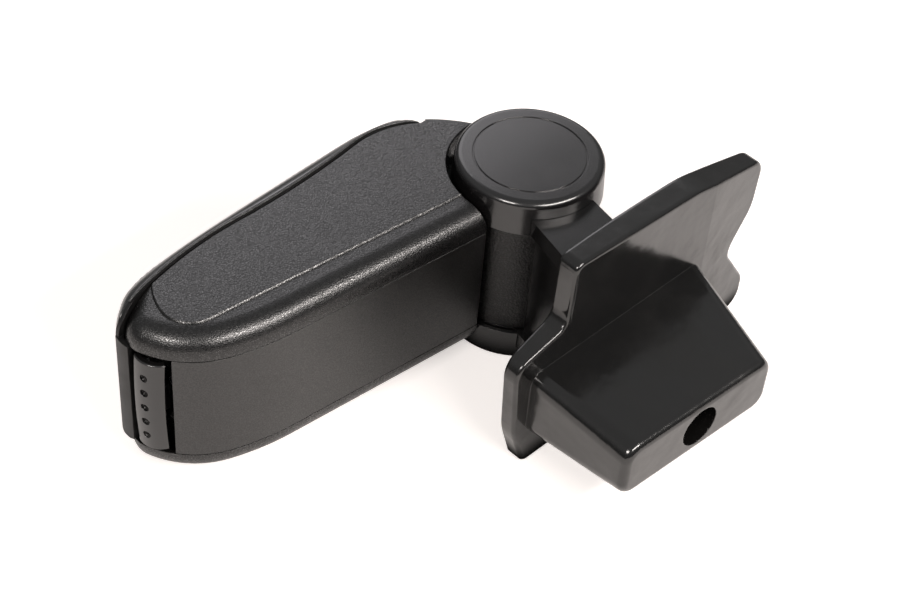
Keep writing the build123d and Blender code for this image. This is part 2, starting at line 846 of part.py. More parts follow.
def below_seam(lift):
    """Everything under the lid seam lifted by lift, along the arm."""
    floor = 4 * underside_z
    end = raised(from_tip(nose_brow), lift)
    with BuildSketch() as face:
        with BuildLine():
            seam_edges(lift)
            ahead = (arm_length + shell_y, end[1])
            Polyline(end, ahead, (ahead[0], floor), (-shell_y, floor), (-shell_y, seam_rear[1] + lift))
            Line((-shell_y, seam_rear[1] + lift), raised(seam_rear, lift))
        make_face()
    return face.sketch


# Storage tray: open bin under the lid, screwed to the tongue
bracket_hole_z = pivot_z + bracket_screw_z
bracket_holes = ((bracket_screw_y, bracket_hole_z), (-bracket_screw_y, bracket_hole_z))
with BuildPart() as storage_tray:
    tray_length = tray_front_x - tray_rear
    with BuildSketch(side()):
        with Locations((tray_rear + tray_length / 2, tray_floor_z + pivot_z / 2)):
            Rectangle(tray_length, pivot_z)
        add(below_seam(-tray_drop), mode=Mode.INTERSECT)
    extrude(amount=tray_half_width, both=True)
    fillet(storage_tray.edges().filter_by(Axis.Z), tray_corner)
    with BuildSketch(Plane.XY.offset(pivot_z + tray_floor_z + tray_wall)):
        inner_length = tray_length - tray_wall - tray_front_wall
        with Locations((pivot_x + tray_rear + tray_wall + inner_length / 2, 0)):
            RectangleRounded(inner_length, 2 * (tray_half_width - tray_wall), tray_corner - tray_wall)
    extrude(amount=pivot_z, mode=Mode.SUBTRACT)
    with BuildSketch(Plane.XY.offset(pivot_z + tray_floor_z)):
        with Locations((pivot_x + tray_screw_x, tray_screw_y), (pivot_x + tray_screw_x, -tray_screw_y)):
            Circle(screw_radius + run_clearance)
    extrude(amount=tray_wall, mode=Mode.SUBTRACT)
    with BuildSketch(Plane.YZ.offset(pivot_x + tray_front_x)):
        with Locations(*bracket_holes):
            Circle(screw_radius + seat_clearance)
    extrude(amount=screw_tip_gap / 2 - tray_front_wall, mode=Mode.SUBTRACT)
export(storage_tray, "storage_tray")

with BuildPart() as tray_screws:
    for y in (tray_screw_y, -tray_screw_y):
        with BuildSketch(Plane.XY.offset(pivot_z + tray_floor_z + tray_wall)):
            with Locations((pivot_x + tray_screw_x, y)):
                Circle(screw_head_radius)
        extrude(amount=screw_head_height)
        with BuildSketch(Plane.XY.offset(pivot_z + tray_floor_z + tray_wall)):
            with Locations((pivot_x + tray_screw_x, y)):
                Circle(screw_radius)
        extrude(amount=-tray_wall - tray_screw_grip)
export(tray_screws, "tray_screws")

# Lid hinge pin
with BuildPart() as lid_hinge_pin:
    with BuildSketch(side()):
        with Locations(hinge_at):
            Circle(hinge_pin_radius)
    extrude(amount=ear_outer, both=True)
export(lid_hinge_pin, "lid_hinge_pin")

# Latch bracket: spring seat and guide rails for the button, on the tray's front wall
guide_y = button_arm_y + button_arm_width + bracket_gap
bracket_half = guide_y + bracket_wall
bracket_end = arm_length - bracket_front
with BuildPart() as latch_bracket:
    bracket_length = bracket_end - tray_front_x
    with BuildSketch(side()):
        with Locations((tray_front_x + bracket_length / 2, bracket_deck_z / 2 + bracket_wall)):
            Rectangle(bracket_length, bracket_deck_z)
        add(hollow_face(shell_wall + run_clearance), mode=Mode.INTERSECT)
    extrude(amount=bracket_half, both=True)
    with BuildSketch(side()):
        with Locations((tray_front_x + bracket_wall + bracket_length / 2, bracket_deck_z / 2)):
            Rectangle(bracket_length, bracket_deck_z)
    extrude(amount=guide_y, both=True, mode=Mode.SUBTRACT)
    rail_heights = (button_arm_low - bracket_gap - bracket_rail, button_arm_high + bracket_gap)
    for height in rail_heights:
        for start in (bracket_half, -button_arm_y):
            with BuildSketch(side(start)):
                with Locations((tray_front_x + bracket_length / 2, height + bracket_rail / 2)):
                    Rectangle(bracket_length, bracket_rail)
            extrude(amount=bracket_half - button_arm_y)
    with BuildSketch(Plane.YZ.offset(pivot_x + tray_front_x)):
        with Locations(*bracket_holes):
            Circle(screw_radius + run_clearance)
    extrude(amount=bracket_wall, mode=Mode.SUBTRACT)
    with BuildSketch(Plane.YZ.offset(pivot_x + tray_front_x + bracket_wall)):
        with Locations(*bracket_holes):
            Circle(screw_head_radius + bracket_gap)
    extrude(amount=bracket_length, mode=Mode.SUBTRACT)
export(latch_bracket, "latch_bracket")

with BuildPart() as bracket_screws:
    with BuildSketch(Plane.YZ.offset(pivot_x + tray_front_x + bracket_wall)):
        with Locations(*bracket_holes):
            Circle(screw_head_radius)
    extrude(amount=screw_head_height)
    with BuildSketch(Plane.YZ.offset(pivot_x + tray_front_x + bracket_wall)):
        with Locations(*bracket_holes):
            Circle(screw_radius)
    extrude(amount=screw_tip_gap - bracket_wall - tray_front_wall)
export(bracket_screws, "bracket_screws")


def under_lid():
    """Everything under the closed lid's top line, from its rear end to the brow, down to the pivot."""
    brow = from_tip(lid_brow)
    ahead = (raised(seam_middle, lid_middle_rise), from_tip(lid_fall), from_tip(lid_front), brow)
    with BuildSketch() as face:
        with BuildLine():
            for points, way in ((ahead, (1, 0)), ((lid_shoulder, lid_rear), (-1, 0))):
                last = lid_crest
                for point in points:
                    arc = TangentArc(last, point, tangent=way)
                    last, way = point, arc % 1
            Polyline(lid_rear, (lid_rear[0], 0), (brow[0], 0), brow)
        make_face()
    return face.sketch


def lid_plan():
    """Plan of the lid: parallel sides with round front corners and a squarer hinge end."""
    front = pivot_x + arm_length - lid_brow[0]
    rear = pivot_x + lid_rear[0]
    with BuildSketch() as plan:
        with BuildLine():
            FilletPolyline(
                (rear, lid_half_width),
                (front, lid_half_width),
                (front, -lid_half_width),
                (rear, -lid_half_width),
                radius=[lid_rear_corner, lid_front_corner, lid_front_corner, lid_rear_corner],
                close=True,
            )
        make_face()
    return plan.sketch


# Lid base: panel over the tray with the rolled hinge edge and the lip over the nose
slot_length = hinge_slot_front + 2 * lid_end_radius
slot_width = hinge_ear_width + 2 * hinge_ear_gap
slot_y = hinge_ear_inner + hinge_ear_width / 2
slot_x = pivot_x + hinge_at[0] + hinge_slot_front - slot_length / 2
with BuildPart() as lid_base:
    with BuildSketch(side()):
        add(under_lid())
        add(below_seam(seam_gap + lid_base_wall), mode=Mode.INTERSECT)
        add(below_seam(seam_gap), mode=Mode.SUBTRACT)
        with Locations((hinge_at[0] / 2, pivot_z)):
            Rectangle(hinge_at[0], 2 * pivot_z, mode=Mode.SUBTRACT)
    extrude(amount=lid_half_width, both=True)
    with BuildSketch():
        add(lid_plan())
    extrude(amount=2 * pivot_z, mode=Mode.INTERSECT)
    with BuildSketch(side()):
        with BuildLine():
            lip_in = (lid_lip[0] + lid_lip_wall, lid_lip[1])
            end_in = (lid_lip_end[0] + lid_lip_wall, lid_lip_end[1])
            top_in = (lid_brow[0] + 2 * lid_lip_wall, lid_brow[1])
            ThreePointArc(from_tip(lid_brow), from_tip(lid_lip), from_tip(lid_lip_end))
            Line(from_tip(lid_lip_end), from_tip(end_in))
            Polyline(from_tip(end_in), from_tip(lip_in), from_tip(top_in), from_tip(lid_brow))
        make_face()
        add(below_seam(seam_gap + lid_base_wall), mode=Mode.INTERSECT)
    extrude(amount=lid_lip_half_width, both=True)
    with BuildSketch(side()):
        with Locations(hinge_at):
            Circle(lid_end_radius)
    extrude(amount=lid_half_width - lid_rear_corner, both=True)
    with BuildSketch():
        with Locations((slot_x, slot_y), (slot_x, -slot_y)):
            Rectangle(slot_length, slot_width)
    extrude(amount=2 * pivot_z, mode=Mode.SUBTRACT)
    with BuildSketch(side()):
        with Locations(hinge_at):
            Circle(hinge_pin_radius + run_clearance)
    extrude(amount=hinge_ear_inner, both=True, mode=Mode.SUBTRACT)
    screw_x = arm_length - catch_screw_x
    with BuildSketch(Plane.XY.offset(pivot_z + catch_foot_z)):
        with Locations((pivot_x + screw_x, catch_screw_y), (pivot_x + screw_x, -catch_screw_y)):
            Circle(screw_radius + seat_clearance)
    extrude(amount=catch_screw_top - catch_foot_z, mode=Mode.SUBTRACT)
export(lid_base, "lid_base")

# Lid cushion: padded cover on the base, rounded along its upper edges
with BuildPart() as lid_cushion:
    with BuildSketch(side()):
        add(under_lid())
    extrude(amount=lid_half_width, both=True)
    with BuildSketch():
        add(lid_plan())
    extrude(amount=2 * pivot_z, mode=Mode.INTERSECT)
    upper = lid_cushion.edges().filter_by(lambda edge: (edge @ 0.5).Z > pivot_z + lid_lip_end[1])
    across = upper.filter_by(Axis.Y).sort_by(Axis.X)
    fillet([edge for edge in upper if edge not in across[1:-1]], cushion_round)
    with BuildSketch(side()):
        add(below_seam(seam_gap + lid_base_wall + cushion_gap))
        with Locations(hinge_at):
            Circle(lid_end_radius + cushion_gap)
    extrude(amount=2 * lid_half_width, both=True, mode=Mode.SUBTRACT)
export(lid_cushion, "lid_cushion")

# Lid catch: tongue that drops through the button's loop, with its nose to the rear
catch_x = arm_length - catch_front
with BuildPart() as lid_catch:
    with BuildSketch(side()):
        with Locations((catch_x - catch_wall / 2, (catch_low_z + seam_front[1]) / 2)):
            Rectangle(catch_wall, seam_front[1] - catch_low_z)
        with Locations((catch_x - catch_wall - catch_nose / 2, catch_low_z + catch_nose_height / 2)):
            Rectangle(catch_nose, catch_nose_height)
        with Locations((catch_x - catch_foot / 2, (catch_foot_z + seam_crest[1]) / 2)):
            Rectangle(catch_foot, seam_crest[1] - catch_foot_z)
        add(below_seam(seam_gap), mode=Mode.INTERSECT)
    extrude(amount=catch_half_width, both=True)
    with BuildSketch(Plane.XY.offset(pivot_z + catch_foot_z)):
        with Locations((pivot_x + screw_x, catch_screw_y), (pivot_x + screw_x, -catch_screw_y)):
            Circle(screw_radius + run_clearance)
    extrude(amount=pivot_z, mode=Mode.SUBTRACT)
export(lid_catch, "lid_catch")

with BuildPart() as catch_screws:
    for y in (catch_screw_y, -catch_screw_y):
        with BuildSketch(Plane.XY.offset(pivot_z + catch_foot_z)):
            with Locations((pivot_x + screw_x, y)):
                Circle(screw_head_radius)
        extrude(amount=-catch_screw_head)
        with BuildSketch(Plane.XY.offset(pivot_z + catch_foot_z)):
            with Locations((pivot_x + screw_x, y)):
                Circle(screw_radius)
        extrude(amount=catch_screw_top - catch_foot_z - screw_tip_gap)
export(catch_screws, "catch_screws")

# Latch button: bowed bar across the nose with finger dimples, two arms and the latch bar
bow_radius = button_half_width**2 / (2 * button_bow)
bow_angle = degrees(button_half_width / bow_radius)
bow_x = arm_length - bow_radius
bow_axis = Axis((pivot_x + bow_x, 0, pivot_z), (0, 0, 1))
bow_plane = Plane(
    origin=(pivot_x + bow_x, 0, pivot_z),
    x_dir=(cos(radians(bow_angle)), -sin(radians(bow_angle)), 0),
    z_dir=(-sin(radians(bow_angle)), -cos(radians(bow_angle)), 0),
)
bar_front = catch_x - catch_wall - catch_nose - button_catch_gap
arm_rear = tray_front_x + bracket_wall + button_travel + button_stop_gap
with BuildPart() as latch_button:
    with BuildSketch(bow_plane):
        with BuildLine():
            low, mid, high = [(bow_radius - x, z) for x, z in (button_low, button_mid, button_high)]
            face = ThreePointArc(low, mid, high)
            low_in = inside(face, 0, button_wall)
            high_in = inside(face, 1, button_wall)
            ThreePointArc(low_in, (mid[0] - button_wall, mid[1]), high_in)
            Line(low, low_in)
            Line(high, high_in)
        make_face()
    revolve(axis=bow_axis, revolution_arc=2 * bow_angle)
    fillet(latch_button.faces().sort_by(Axis.X)[-1].edges(), button_edge_round)
    dimple_x = arm_length - button_mid[0]
    with BuildSketch(Plane.YZ.offset(pivot_x + dimple_x - dimple_depth)):
        for i in range(dimple_count):
            with Locations(((i - (dimple_count - 1) / 2) * dimple_pitch, pivot_z + button_mid[1])):
                Circle(dimple_radius)
    extrude(amount=button_wall, mode=Mode.SUBTRACT)
    for start in (button_arm_y + button_arm_width, -button_arm_y):
        with BuildSketch(side(start)):
            arm_run = dimple_x - button_wall / 2 - dimple_depth - arm_rear
            with Locations((arm_rear + arm_run / 2, (button_arm_low + button_arm_high) / 2)):
                Rectangle(arm_run, button_arm_high - button_arm_low)
        extrude(amount=button_arm_width)
    with BuildSketch(side()):
        with Locations((bar_front - button_bar_depth / 2, (button_bar_low + button_arm_high) / 2)):
            Rectangle(button_bar_depth, button_arm_high - button_bar_low)
    extrude(amount=button_arm_y + button_arm_width, both=True)
export(latch_button, "latch_button")

# Return spring between the bracket's rear wall and the button's bar
with BuildPart() as latch_spring:
    spring_rear = tray_front_x + bracket_wall + spring_end_gap + spring_wire / 2
    spring_run = bar_front - button_bar_depth - spring_end_gap - spring_wire / 2 - spring_rear
    spring_z = (button_bar_low + button_arm_high) / 2
    spring_start = (pivot_x + spring_rear, 0, pivot_z + spring_z)
    with BuildLine() as coil:
        Helix(spring_run / spring_turns, spring_run, spring_radius, center=spring_start, direction=(1, 0, 0))
    with BuildSketch(Plane(coil.edge() @ 0, z_dir=coil.edge() % 0)):
        Circle(spring_wire / 2)
    sweep()
export(latch_spring, "latch_spring")
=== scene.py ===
"""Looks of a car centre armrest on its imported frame, laid out as an add-on and run as a script."""

import math

import bmesh
import bpy
from bpy.props import FloatProperty, FloatVectorProperty, PointerProperty
from mathutils import Matrix, Vector
from mathutils.bvhtree import BVHTree
from mathutils.kdtree import KDTree


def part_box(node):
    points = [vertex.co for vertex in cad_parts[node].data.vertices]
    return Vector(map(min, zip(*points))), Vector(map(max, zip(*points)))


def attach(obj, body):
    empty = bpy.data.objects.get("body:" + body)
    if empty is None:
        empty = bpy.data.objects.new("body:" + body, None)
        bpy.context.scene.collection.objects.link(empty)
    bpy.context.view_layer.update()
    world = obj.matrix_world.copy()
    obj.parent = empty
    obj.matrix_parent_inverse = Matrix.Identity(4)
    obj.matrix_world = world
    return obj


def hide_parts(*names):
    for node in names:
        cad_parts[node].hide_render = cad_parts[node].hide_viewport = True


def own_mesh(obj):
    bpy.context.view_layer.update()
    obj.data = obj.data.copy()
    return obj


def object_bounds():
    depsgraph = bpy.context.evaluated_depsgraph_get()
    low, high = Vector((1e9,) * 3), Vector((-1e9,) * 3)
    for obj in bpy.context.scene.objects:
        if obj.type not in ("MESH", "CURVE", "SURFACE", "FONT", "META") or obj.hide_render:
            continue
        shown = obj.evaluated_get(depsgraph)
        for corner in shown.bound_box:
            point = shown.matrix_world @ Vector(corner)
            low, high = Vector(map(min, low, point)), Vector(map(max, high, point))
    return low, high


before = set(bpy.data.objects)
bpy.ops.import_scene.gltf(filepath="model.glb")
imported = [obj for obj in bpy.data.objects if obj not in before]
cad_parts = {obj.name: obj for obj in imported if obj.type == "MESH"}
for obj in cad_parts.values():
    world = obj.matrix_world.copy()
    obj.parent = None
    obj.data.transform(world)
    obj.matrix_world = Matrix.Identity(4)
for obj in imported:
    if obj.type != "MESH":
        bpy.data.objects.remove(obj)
cad_low, cad_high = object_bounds()

bl_info = {
    "name": "Car centre armrest",
    "version": (1, 0, 0),
    "blender": (4, 5, 0),
    "location": "3D View > Sidebar > Armrest",
    "description": "Dresses the packed armrest: padded lid, grained mouldings, hub, adapter and stage",
    "category": "Object",
}

# Nodes of the frame that share a finish
HUB_NODES = ("hub_cap_left", "hub_cap_right", "fork_bracket")
SHELL_NODES = ("side_shell_left", "side_shell_right")
INNER_NODES = ("lid_base", "lid_catch", "latch_bracket", "storage_tray")
BEARING_NODES = ("pivot_bushes", "thrust_washers")
STEEL_NODES = (
    "pivot_bolt", "pivot_nut", "pivot_washers", "adapter_bolt", "adapter_washer", "adapter_nut",
    "shell_screws", "tray_screws", "bracket_screws", "catch_screws", "lid_hinge_pin",
)

# Ways and far places for casting rays at a piece
UP = Vector((0, 0, 1))
DOWN = Vector((0, 0, -1))
REARWARD = Vector((-1, 0, 0))
FROM_LEFT = Vector((0, -1, 0))
FAR_ABOVE = cad_high.z + 0.1
FAR_LEFT = 0.2
FAR_FRONT = 0.3

# Spans of a mask over which a finish changes
WHOLE = (0.0, 1.0)
NOISE_SPAN = (0.3, 0.7)

# Lid pad: stations along it, places across its section, and how its ends fade
PAD_STATIONS = 120
PAD_END_GAP = 0.0006
PAD_PROBE_SIDE = 0.02
PAD_PROBES = 10
PAD_EVEN_REACH = 4
PAD_TUCK = 0.0005
PAD_LEAN = 0.34
UNDER_STEPS = 8
TUCK_STEPS = 4
SHOULDER_STEPS = 14
TOP_STEPS = 12
END_SHOULDER = 0.006
CROWN_START = (0.02, 0.05)
CROWN_END = 0.035
SWELL_STEPS = 20
HELD_FACING = -0.35

# Stitched line of the lid, its groove and its stitches
LINE_NOSE_GAP = 0.004
LINE_REAR_GAP = 0.010
LINE_CORNER = 0.014
GROOVE_WIDTH = 0.0016
GROOVE_FALL = 1.5
GROOVE_FACING = 0.1
STITCH_STEPS = 8
STITCH_SIDES = 8
# Share of the stitch's length, girth and lift
STITCH_PROFILE = (
    (0.0, 0.25, -0.5),
    (0.14, 0.8, -0.1),
    (0.5, 1.0, 0.25),
    (0.86, 0.8, -0.1),
    (1.0, 0.25, -0.5),
)

# Edge of the lid base that carries the bead and the seal
EDGE_REAR_GAP = 0.003
EDGE_NOSE_GAP = 0.0105
EDGE_STEP = 0.0015
EDGE_PROBE_INSET = 0.003
EDGE_PROBE_RISE = 0.001
BEAD_OUT = 0.0002
SEAL_OUT = 0.0001

# Dimples of the latch button, with radius and height of what lines them: a dull disc as painted shade, and
# a stud
DIMPLE_PLACES = (-2, -1, 0, 1, 2)
DIMPLE_PITCH = 0.00933
DIMPLE_LEVEL = 0.1075
SHADE_DISC_PROFILE = ((0, 0.0002), (0.0012, 0.0002), (0.0018, 0.00015), (0.0018, -0.0002), (0, -0.0002))
STUD_PROFILE = ((0, 0.0009), (0.0003, 0.00084), (0.0005, 0.0006), (0.0006, 0.0), (0, 0.0))

# Latch spring
SPRING_TURNS = 5
TURN_STEPS = 24

# Studio floor and surroundings
FLOOR_REACH = 1.4
FLOOR_GAP = 0.0002
FLOOR_SEEN = 0.62
FLOOR_MIRRORED = 0.12
FLOOR_GLOW = (1.0, 0.95, 0.92, 1.0)
# Ray lengths over which the floor turns dark in reflections near the armrest, and its dark tone there:
# painted contact shade.
CONTACT_SHADE_SPAN = (0.003, 0.022)
CONTACT_SHADE_TONE = (0.02, 0.02, 0.02, 1.0)
ROOM_LIGHT = 0.25
ROOM_WHITE = 1.0
SKY_SPAN = (0.15, 0.6)
SKY_LEVELS = (0.18, 0.44)

# Lamps: name, place, aim, width, height, radiance, tone and roll
HUB_AIM = (-0.023, 0.05, 0.077)
ARM_AIM = (0.09, 0.03, 0.06)
COOL = (1.0, 0.965, 1.0)
WARM = (1.0, 0.94, 0.90)
SOFTBOXES = (
    ("back_softbox", (-0.762, 0.872, 1.177), HUB_AIM, 1.2, 0.8, 1.5, COOL, math.radians(35)),
    ("front_softbox", (-0.015, 0.78, -0.75), ARM_AIM, 0.93, 0.17, 25.5, WARM, 0.0),
    ("nose_softbox", (1.0, 0.82, -0.2), ARM_AIM, 0.4, 0.2, 25.0, WARM, 0.0),
)

# Camera at the photograph's viewing angle
CAMERA_LENS = 77.96
CAMERA_SENSOR = 36.0
CAMERA_PLACE = (0.5440, 0.6720, -0.3904)
CAMERA_RIGHT = (-0.7097, 0.0660, -0.7016)
CAMERA_UP = (-0.4626, 0.7076, 0.5342)
CAMERA_BACK = (0.5315, 0.7035, -0.4715)


def colour(name, description, default):
    """Colour property with three channels."""
    return FloatVectorProperty(
        name=name, description=description, default=default, size=3, subtype="COLOR", min=0.0, max=1.0
    )


def length(name, description, default):
    """Length property in metres."""
    return FloatProperty(name=name, description=description, default=default, unit="LENGTH", precision=5)


class ArmrestSizes(bpy.types.PropertyGroup):
    """Sizes of the grain, padding, stitching and trim."""

    pebble: length("Pebble", "Cell of the side shells' moulded grain", 0.0009)
    fine: length("Fine grain", "Cell of the underside's fine grain", 0.0006)
    wrinkle: length("Knuckle grain", "Cell of the knuckle's wrinkled grain", 0.0013)
    hide: length("Leatherette grain", "Cell of the lid cover's grain", 0.0008)
    swell: length("Cushion swell", "Most that a point of the cushion moves as it swells", 0.0005)
    stitch_inset: length("Stitch inset", "Distance of the stitching from the lid's side", 0.0047)
    stitch_length: length("Stitch length", "Length of one stitch", 0.0032)
    stitch_gap: length("Stitch gap", "Gap from one stitch to the next", 0.0009)
    thread: length("Thread", "Thickness of the sewing thread", 0.0006)
    groove: length("Seam groove", "Depth of the sewn groove under the stitches", 0.0005)
    crown: length("Crown", "Rise of the pad's middle over its solid", 0.0030)
    shoulder: length("Shoulder", "Width of the pad's rounded shoulder", 0.013)
    bead: length("Bead", "Radius of the bead along the lid base", 0.0006)
    bead_rise: length("Bead rise", "Height of the bead over the lid base's underside", 0.0015)
    # The seal is a dull black strip under the bead that paints the shade in the gap.
    seal: length("Seal", "Radius of the seal under the bead", 0.0005)
    seal_rise: length("Seal rise", "Height of the seal over the lid base's underside", 0.0005)
    spring_wire: length("Spring wire", "Radius of the latch spring's wire", 0.00035)


class ArmrestColours(bpy.types.PropertyGroup):
    """Colours of the finishes."""

    shell: colour("Shell", "Grained side shells", (0.0070, 0.0066, 0.0068))
    underside: colour("Underside", "Finely grained underside and knuckle", (0.0065, 0.0060, 0.0058))
    satin: colour("Hub", "Satin hub caps, fork and button", (0.0060, 0.0057, 0.0059))
    smooth: colour("Inner plastic", "Smooth tray, lid base and latch", (0.0050, 0.0047, 0.0047))
    compound: colour("Adapter", "Semi-gloss console adapter", (0.0045, 0.0042, 0.0040))
    hide: colour("Leatherette", "Padded lid cover", (0.0065, 0.0062, 0.0065))
    # Crease is painted into the grain's hollows, with the crests kept at the lighter tones: painted shade
    # in the creases and painted glint on the crests. The shade filler pieces use it as the dark end of a
    # random mottle.
    crease: colour("Crease", "Bottom of the grain", (0.0022, 0.0021, 0.0021))
    thread: colour("Thread", "Sewing thread", (0.0120, 0.0115, 0.0115))
    steel: colour("Steel", "Zinc plated fasteners", (0.56, 0.56, 0.57))
    bearing: colour("Bearing", "Bushes and thrust washers", (0.62, 0.60, 0.54))
    dust: colour("Dust", "Specks, scuffs and haze", (0.42, 0.40, 0.38))
    floor: colour("Floor", "Studio floor", (0.86, 0.835, 0.82))


def add_node(tree, kind, **values):
    """New node of a kind with its properties set."""
    made = tree.nodes.new(kind)
    for key, value in values.items():
        setattr(made, key, value)
    return made


def feed(tree, socket, value):
    """Link an output to a socket, or set the socket's own value."""
    if isinstance(value, bpy.types.NodeSocket):
        tree.links.new(value, socket)
    else:
        socket.default_value = value


def calc(tree, operation, *values):
    """Output of a maths node fed with sockets or numbers."""
    made = add_node(tree, "ShaderNodeMath", operation=operation)
    for socket, value in zip(made.inputs, values):
        feed(tree, socket, value)
    return made.outputs[0]


def vector_calc(tree, operation, first, second):
    """Output vector of a vector maths node; a number as second scales."""
    made = add_node(tree, "ShaderNodeVectorMath", operation=operation)
    feed(tree, made.inputs[0], first)
    feed(tree, made.inputs["Scale"] if operation == "SCALE" else made.inputs[1], second)
    return made.outputs[0]


def ramp(tree, value, span, levels=WHOLE):
    """Value mapped smoothly from a span to two levels and clamped."""
    made = add_node(tree, "ShaderNodeMapRange", interpolation_type="SMOOTHSTEP")
    for socket, number in zip(made.inputs, (value, *span, *levels)):
        feed(tree, socket, number)
    return made.outputs[0]


def noise(tree, vector, scale, detail=2.0, roughness=0.5):
    """Noise node at a scale per metre."""
    made = add_node(tree, "ShaderNodeTexNoise")
    feed(tree, made.inputs["Vector"], vector)
    feed(tree, made.inputs["Scale"], scale)
    made.inputs["Detail"].default_value = detail
    made.inputs["Roughness"].default_value = roughness
    return made


def cells(tree, vector, scale, feature):
    """Voronoi node at a scale per metre."""
    made = add_node(tree, "ShaderNodeTexVoronoi", feature=feature)
    feed(tree, made.inputs["Vector"], vector)
    feed(tree, made.inputs["Scale"], scale)
    return made


def blend_colours(tree, share, first, second):
    """Mix of two colours by a share."""
    made = add_node(tree, "ShaderNodeMix", data_type="RGBA")
    feed(tree, made.inputs["Factor"], share)
    feed(tree, made.inputs[6], first)
    feed(tree, made.inputs[7], second)
    return made.outputs[2]


def blend_values(tree, share, first, second):
    """Mix of two values by a share."""
    made = add_node(tree, "ShaderNodeMix", data_type="FLOAT")
    feed(tree, made.inputs["Factor"], share)
    feed(tree, made.inputs[2], first)
    feed(tree, made.inputs[3], second)
    return made.outputs[0]


def first_channel(tree, value):
    """Red channel of a colour."""
    made = add_node(tree, "ShaderNodeSeparateColor")
    feed(tree, made.inputs[0], value)
    return made.outputs[0]


def new_group(name, inputs, outputs):
    """Shader node group with named float or vector sockets; returns its tree, inputs and outputs."""
    tree = bpy.data.node_groups.new(name, "ShaderNodeTree")
    for label, default in inputs:
        kind = "NodeSocketVector" if default is None else "NodeSocketFloat"
        socket = tree.interface.new_socket(label, in_out="INPUT", socket_type=kind)
        if default is not None:
            socket.default_value = default
    for label in outputs:
        tree.interface.new_socket(label, in_out="OUTPUT", socket_type="NodeSocketFloat")
    return tree, tree.nodes.new("NodeGroupInput").outputs, tree.nodes.new("NodeGroupOutput").inputs


def place_group(tree, name, vector, **values):
    """Put a node group in a material with its own values; returns its outputs."""
    made = add_node(tree, "ShaderNodeGroup", node_tree=bpy.data.node_groups[name])
    feed(tree, made.inputs["Vector"], vector)
    for label, value in values.items():
        feed(tree, made.inputs[label], value)
    return made.outputs


def make_pebble_grain():
    """Moulded grain: rounded pebbles of uneven size and shine with creases between them."""
    drift_rate = 0.6
    drift_reach = 1.1
    fine_rate = 2.6
    fine_height = 0.3
    crease_width = 0.16
    crease_depth = 0.25
    crown_span = (0.5, 0.95)
    shine_span = (0.2, 0.8)
    shine_levels = (0.35, 1.0)
    tree, given, out = new_group(
        "pebble_grain", (("Vector", None), ("Cell", 0.001)), ("Height", "Crease", "Crest")
    )
    scale = calc(tree, "DIVIDE", 1.0, given["Cell"])
    drift = noise(tree, given["Vector"], calc(tree, "MULTIPLY", scale, drift_rate))
    shift = vector_calc(tree, "SUBTRACT", drift.outputs["Color"], (0.5, 0.5, 0.5))
    shift = vector_calc(tree, "SCALE", shift, calc(tree, "MULTIPLY", given["Cell"], drift_reach))
    place = vector_calc(tree, "ADD", given["Vector"], shift)
    dome = cells(tree, place, scale, "F1")
    rim = cells(tree, place, scale, "DISTANCE_TO_EDGE")
    crease = ramp(tree, rim.outputs["Distance"], (0.0, crease_width), (1.0, 0.0))
    fine = noise(tree, given["Vector"], calc(tree, "MULTIPLY", scale, fine_rate))
    height = calc(tree, "SUBTRACT", 1.0, dome.outputs["Distance"])
    height = calc(tree, "SUBTRACT", height, calc(tree, "MULTIPLY", crease, crease_depth))
    height = calc(tree, "ADD", height, calc(tree, "MULTIPLY", fine.outputs["Fac"], fine_height))
    own_shine = ramp(tree, first_channel(tree, dome.outputs["Color"]), shine_span, shine_levels)
    feed(tree, out["Height"], height)
    feed(tree, out["Crease"], crease)
    # Crest weights the coat, and the finishes also use it to paint a lighter glint tone on the crests over
    # a darker painted shade in the creases.
    feed(tree, out["Crest"], calc(tree, "MULTIPLY", ramp(tree, height, crown_span), own_shine))


def make_fine_grain():
    """Spark-eroded texture: small soft lumps with a little unevenness over longer runs."""
    clouds_per_metre = 45.0
    tree, given, out = new_group("fine_grain", (("Vector", None), ("Cell", 0.0005)), ("Height", "Cloud"))
    scale = calc(tree, "DIVIDE", 1.0, given["Cell"])
    lump = noise(tree, given["Vector"], scale, detail=3.0, roughness=0.6)
    cloud = noise(tree, given["Vector"], clouds_per_metre, detail=3.0)
    feed(tree, out["Height"], lump.outputs["Fac"])
    feed(tree, out["Cloud"], cloud.outputs["Fac"])


def make_wear():
    """Rubbed edges: where the rounded normal leaves the face's own normal, broken up by noise."""
    breaks_per_metre = 420.0
    turn_span = (0.995, 0.86)
    break_span = (0.35, 0.62)
    tree, given, out = new_group("edge_wear", (("Vector", None), ("Reach", 0.0006)), ("Edge",))
    rounded = add_node(tree, "ShaderNodeBevel", samples=6)
    feed(tree, rounded.inputs["Radius"], given["Reach"])
    face = add_node(tree, "ShaderNodeNewGeometry")
    same = add_node(tree, "ShaderNodeVectorMath", operation="DOT_PRODUCT")
    feed(tree, same.inputs[0], rounded.outputs["Normal"])
    feed(tree, same.inputs[1], face.outputs["Normal"])
    broken = noise(tree, given["Vector"], breaks_per_metre, detail=3.0)
    edge = ramp(tree, same.outputs["Value"], turn_span)
    share = ramp(tree, broken.outputs["Fac"], break_span)
    feed(tree, out["Edge"], calc(tree, "MULTIPLY", edge, share))


def make_dust():
    """Dust: sparse bright specks and faint hazy patches."""
    patches_per_metre = 28.0
    haze_span = (0.46, 0.72)
    tree, given, out = new_group(
        "dust", (("Vector", None), ("Spacing", 0.007), ("Speck", 0.03), ("Share", 0.3)), ("Specks", "Haze")
    )
    spot = cells(tree, given["Vector"], calc(tree, "DIVIDE", 1.0, given["Spacing"]), "F1")
    near = calc(tree, "LESS_THAN", spot.outputs["Distance"], given["Speck"])
    chosen = calc(tree, "LESS_THAN", first_channel(tree, spot.outputs["Color"]), given["Share"])
    patch = noise(tree, given["Vector"], patches_per_metre, detail=5.0, roughness=0.62)
    feed(tree, out["Specks"], calc(tree, "MULTIPLY", near, chosen))
    feed(tree, out["Haze"], ramp(tree, patch.outputs["Fac"], haze_span))


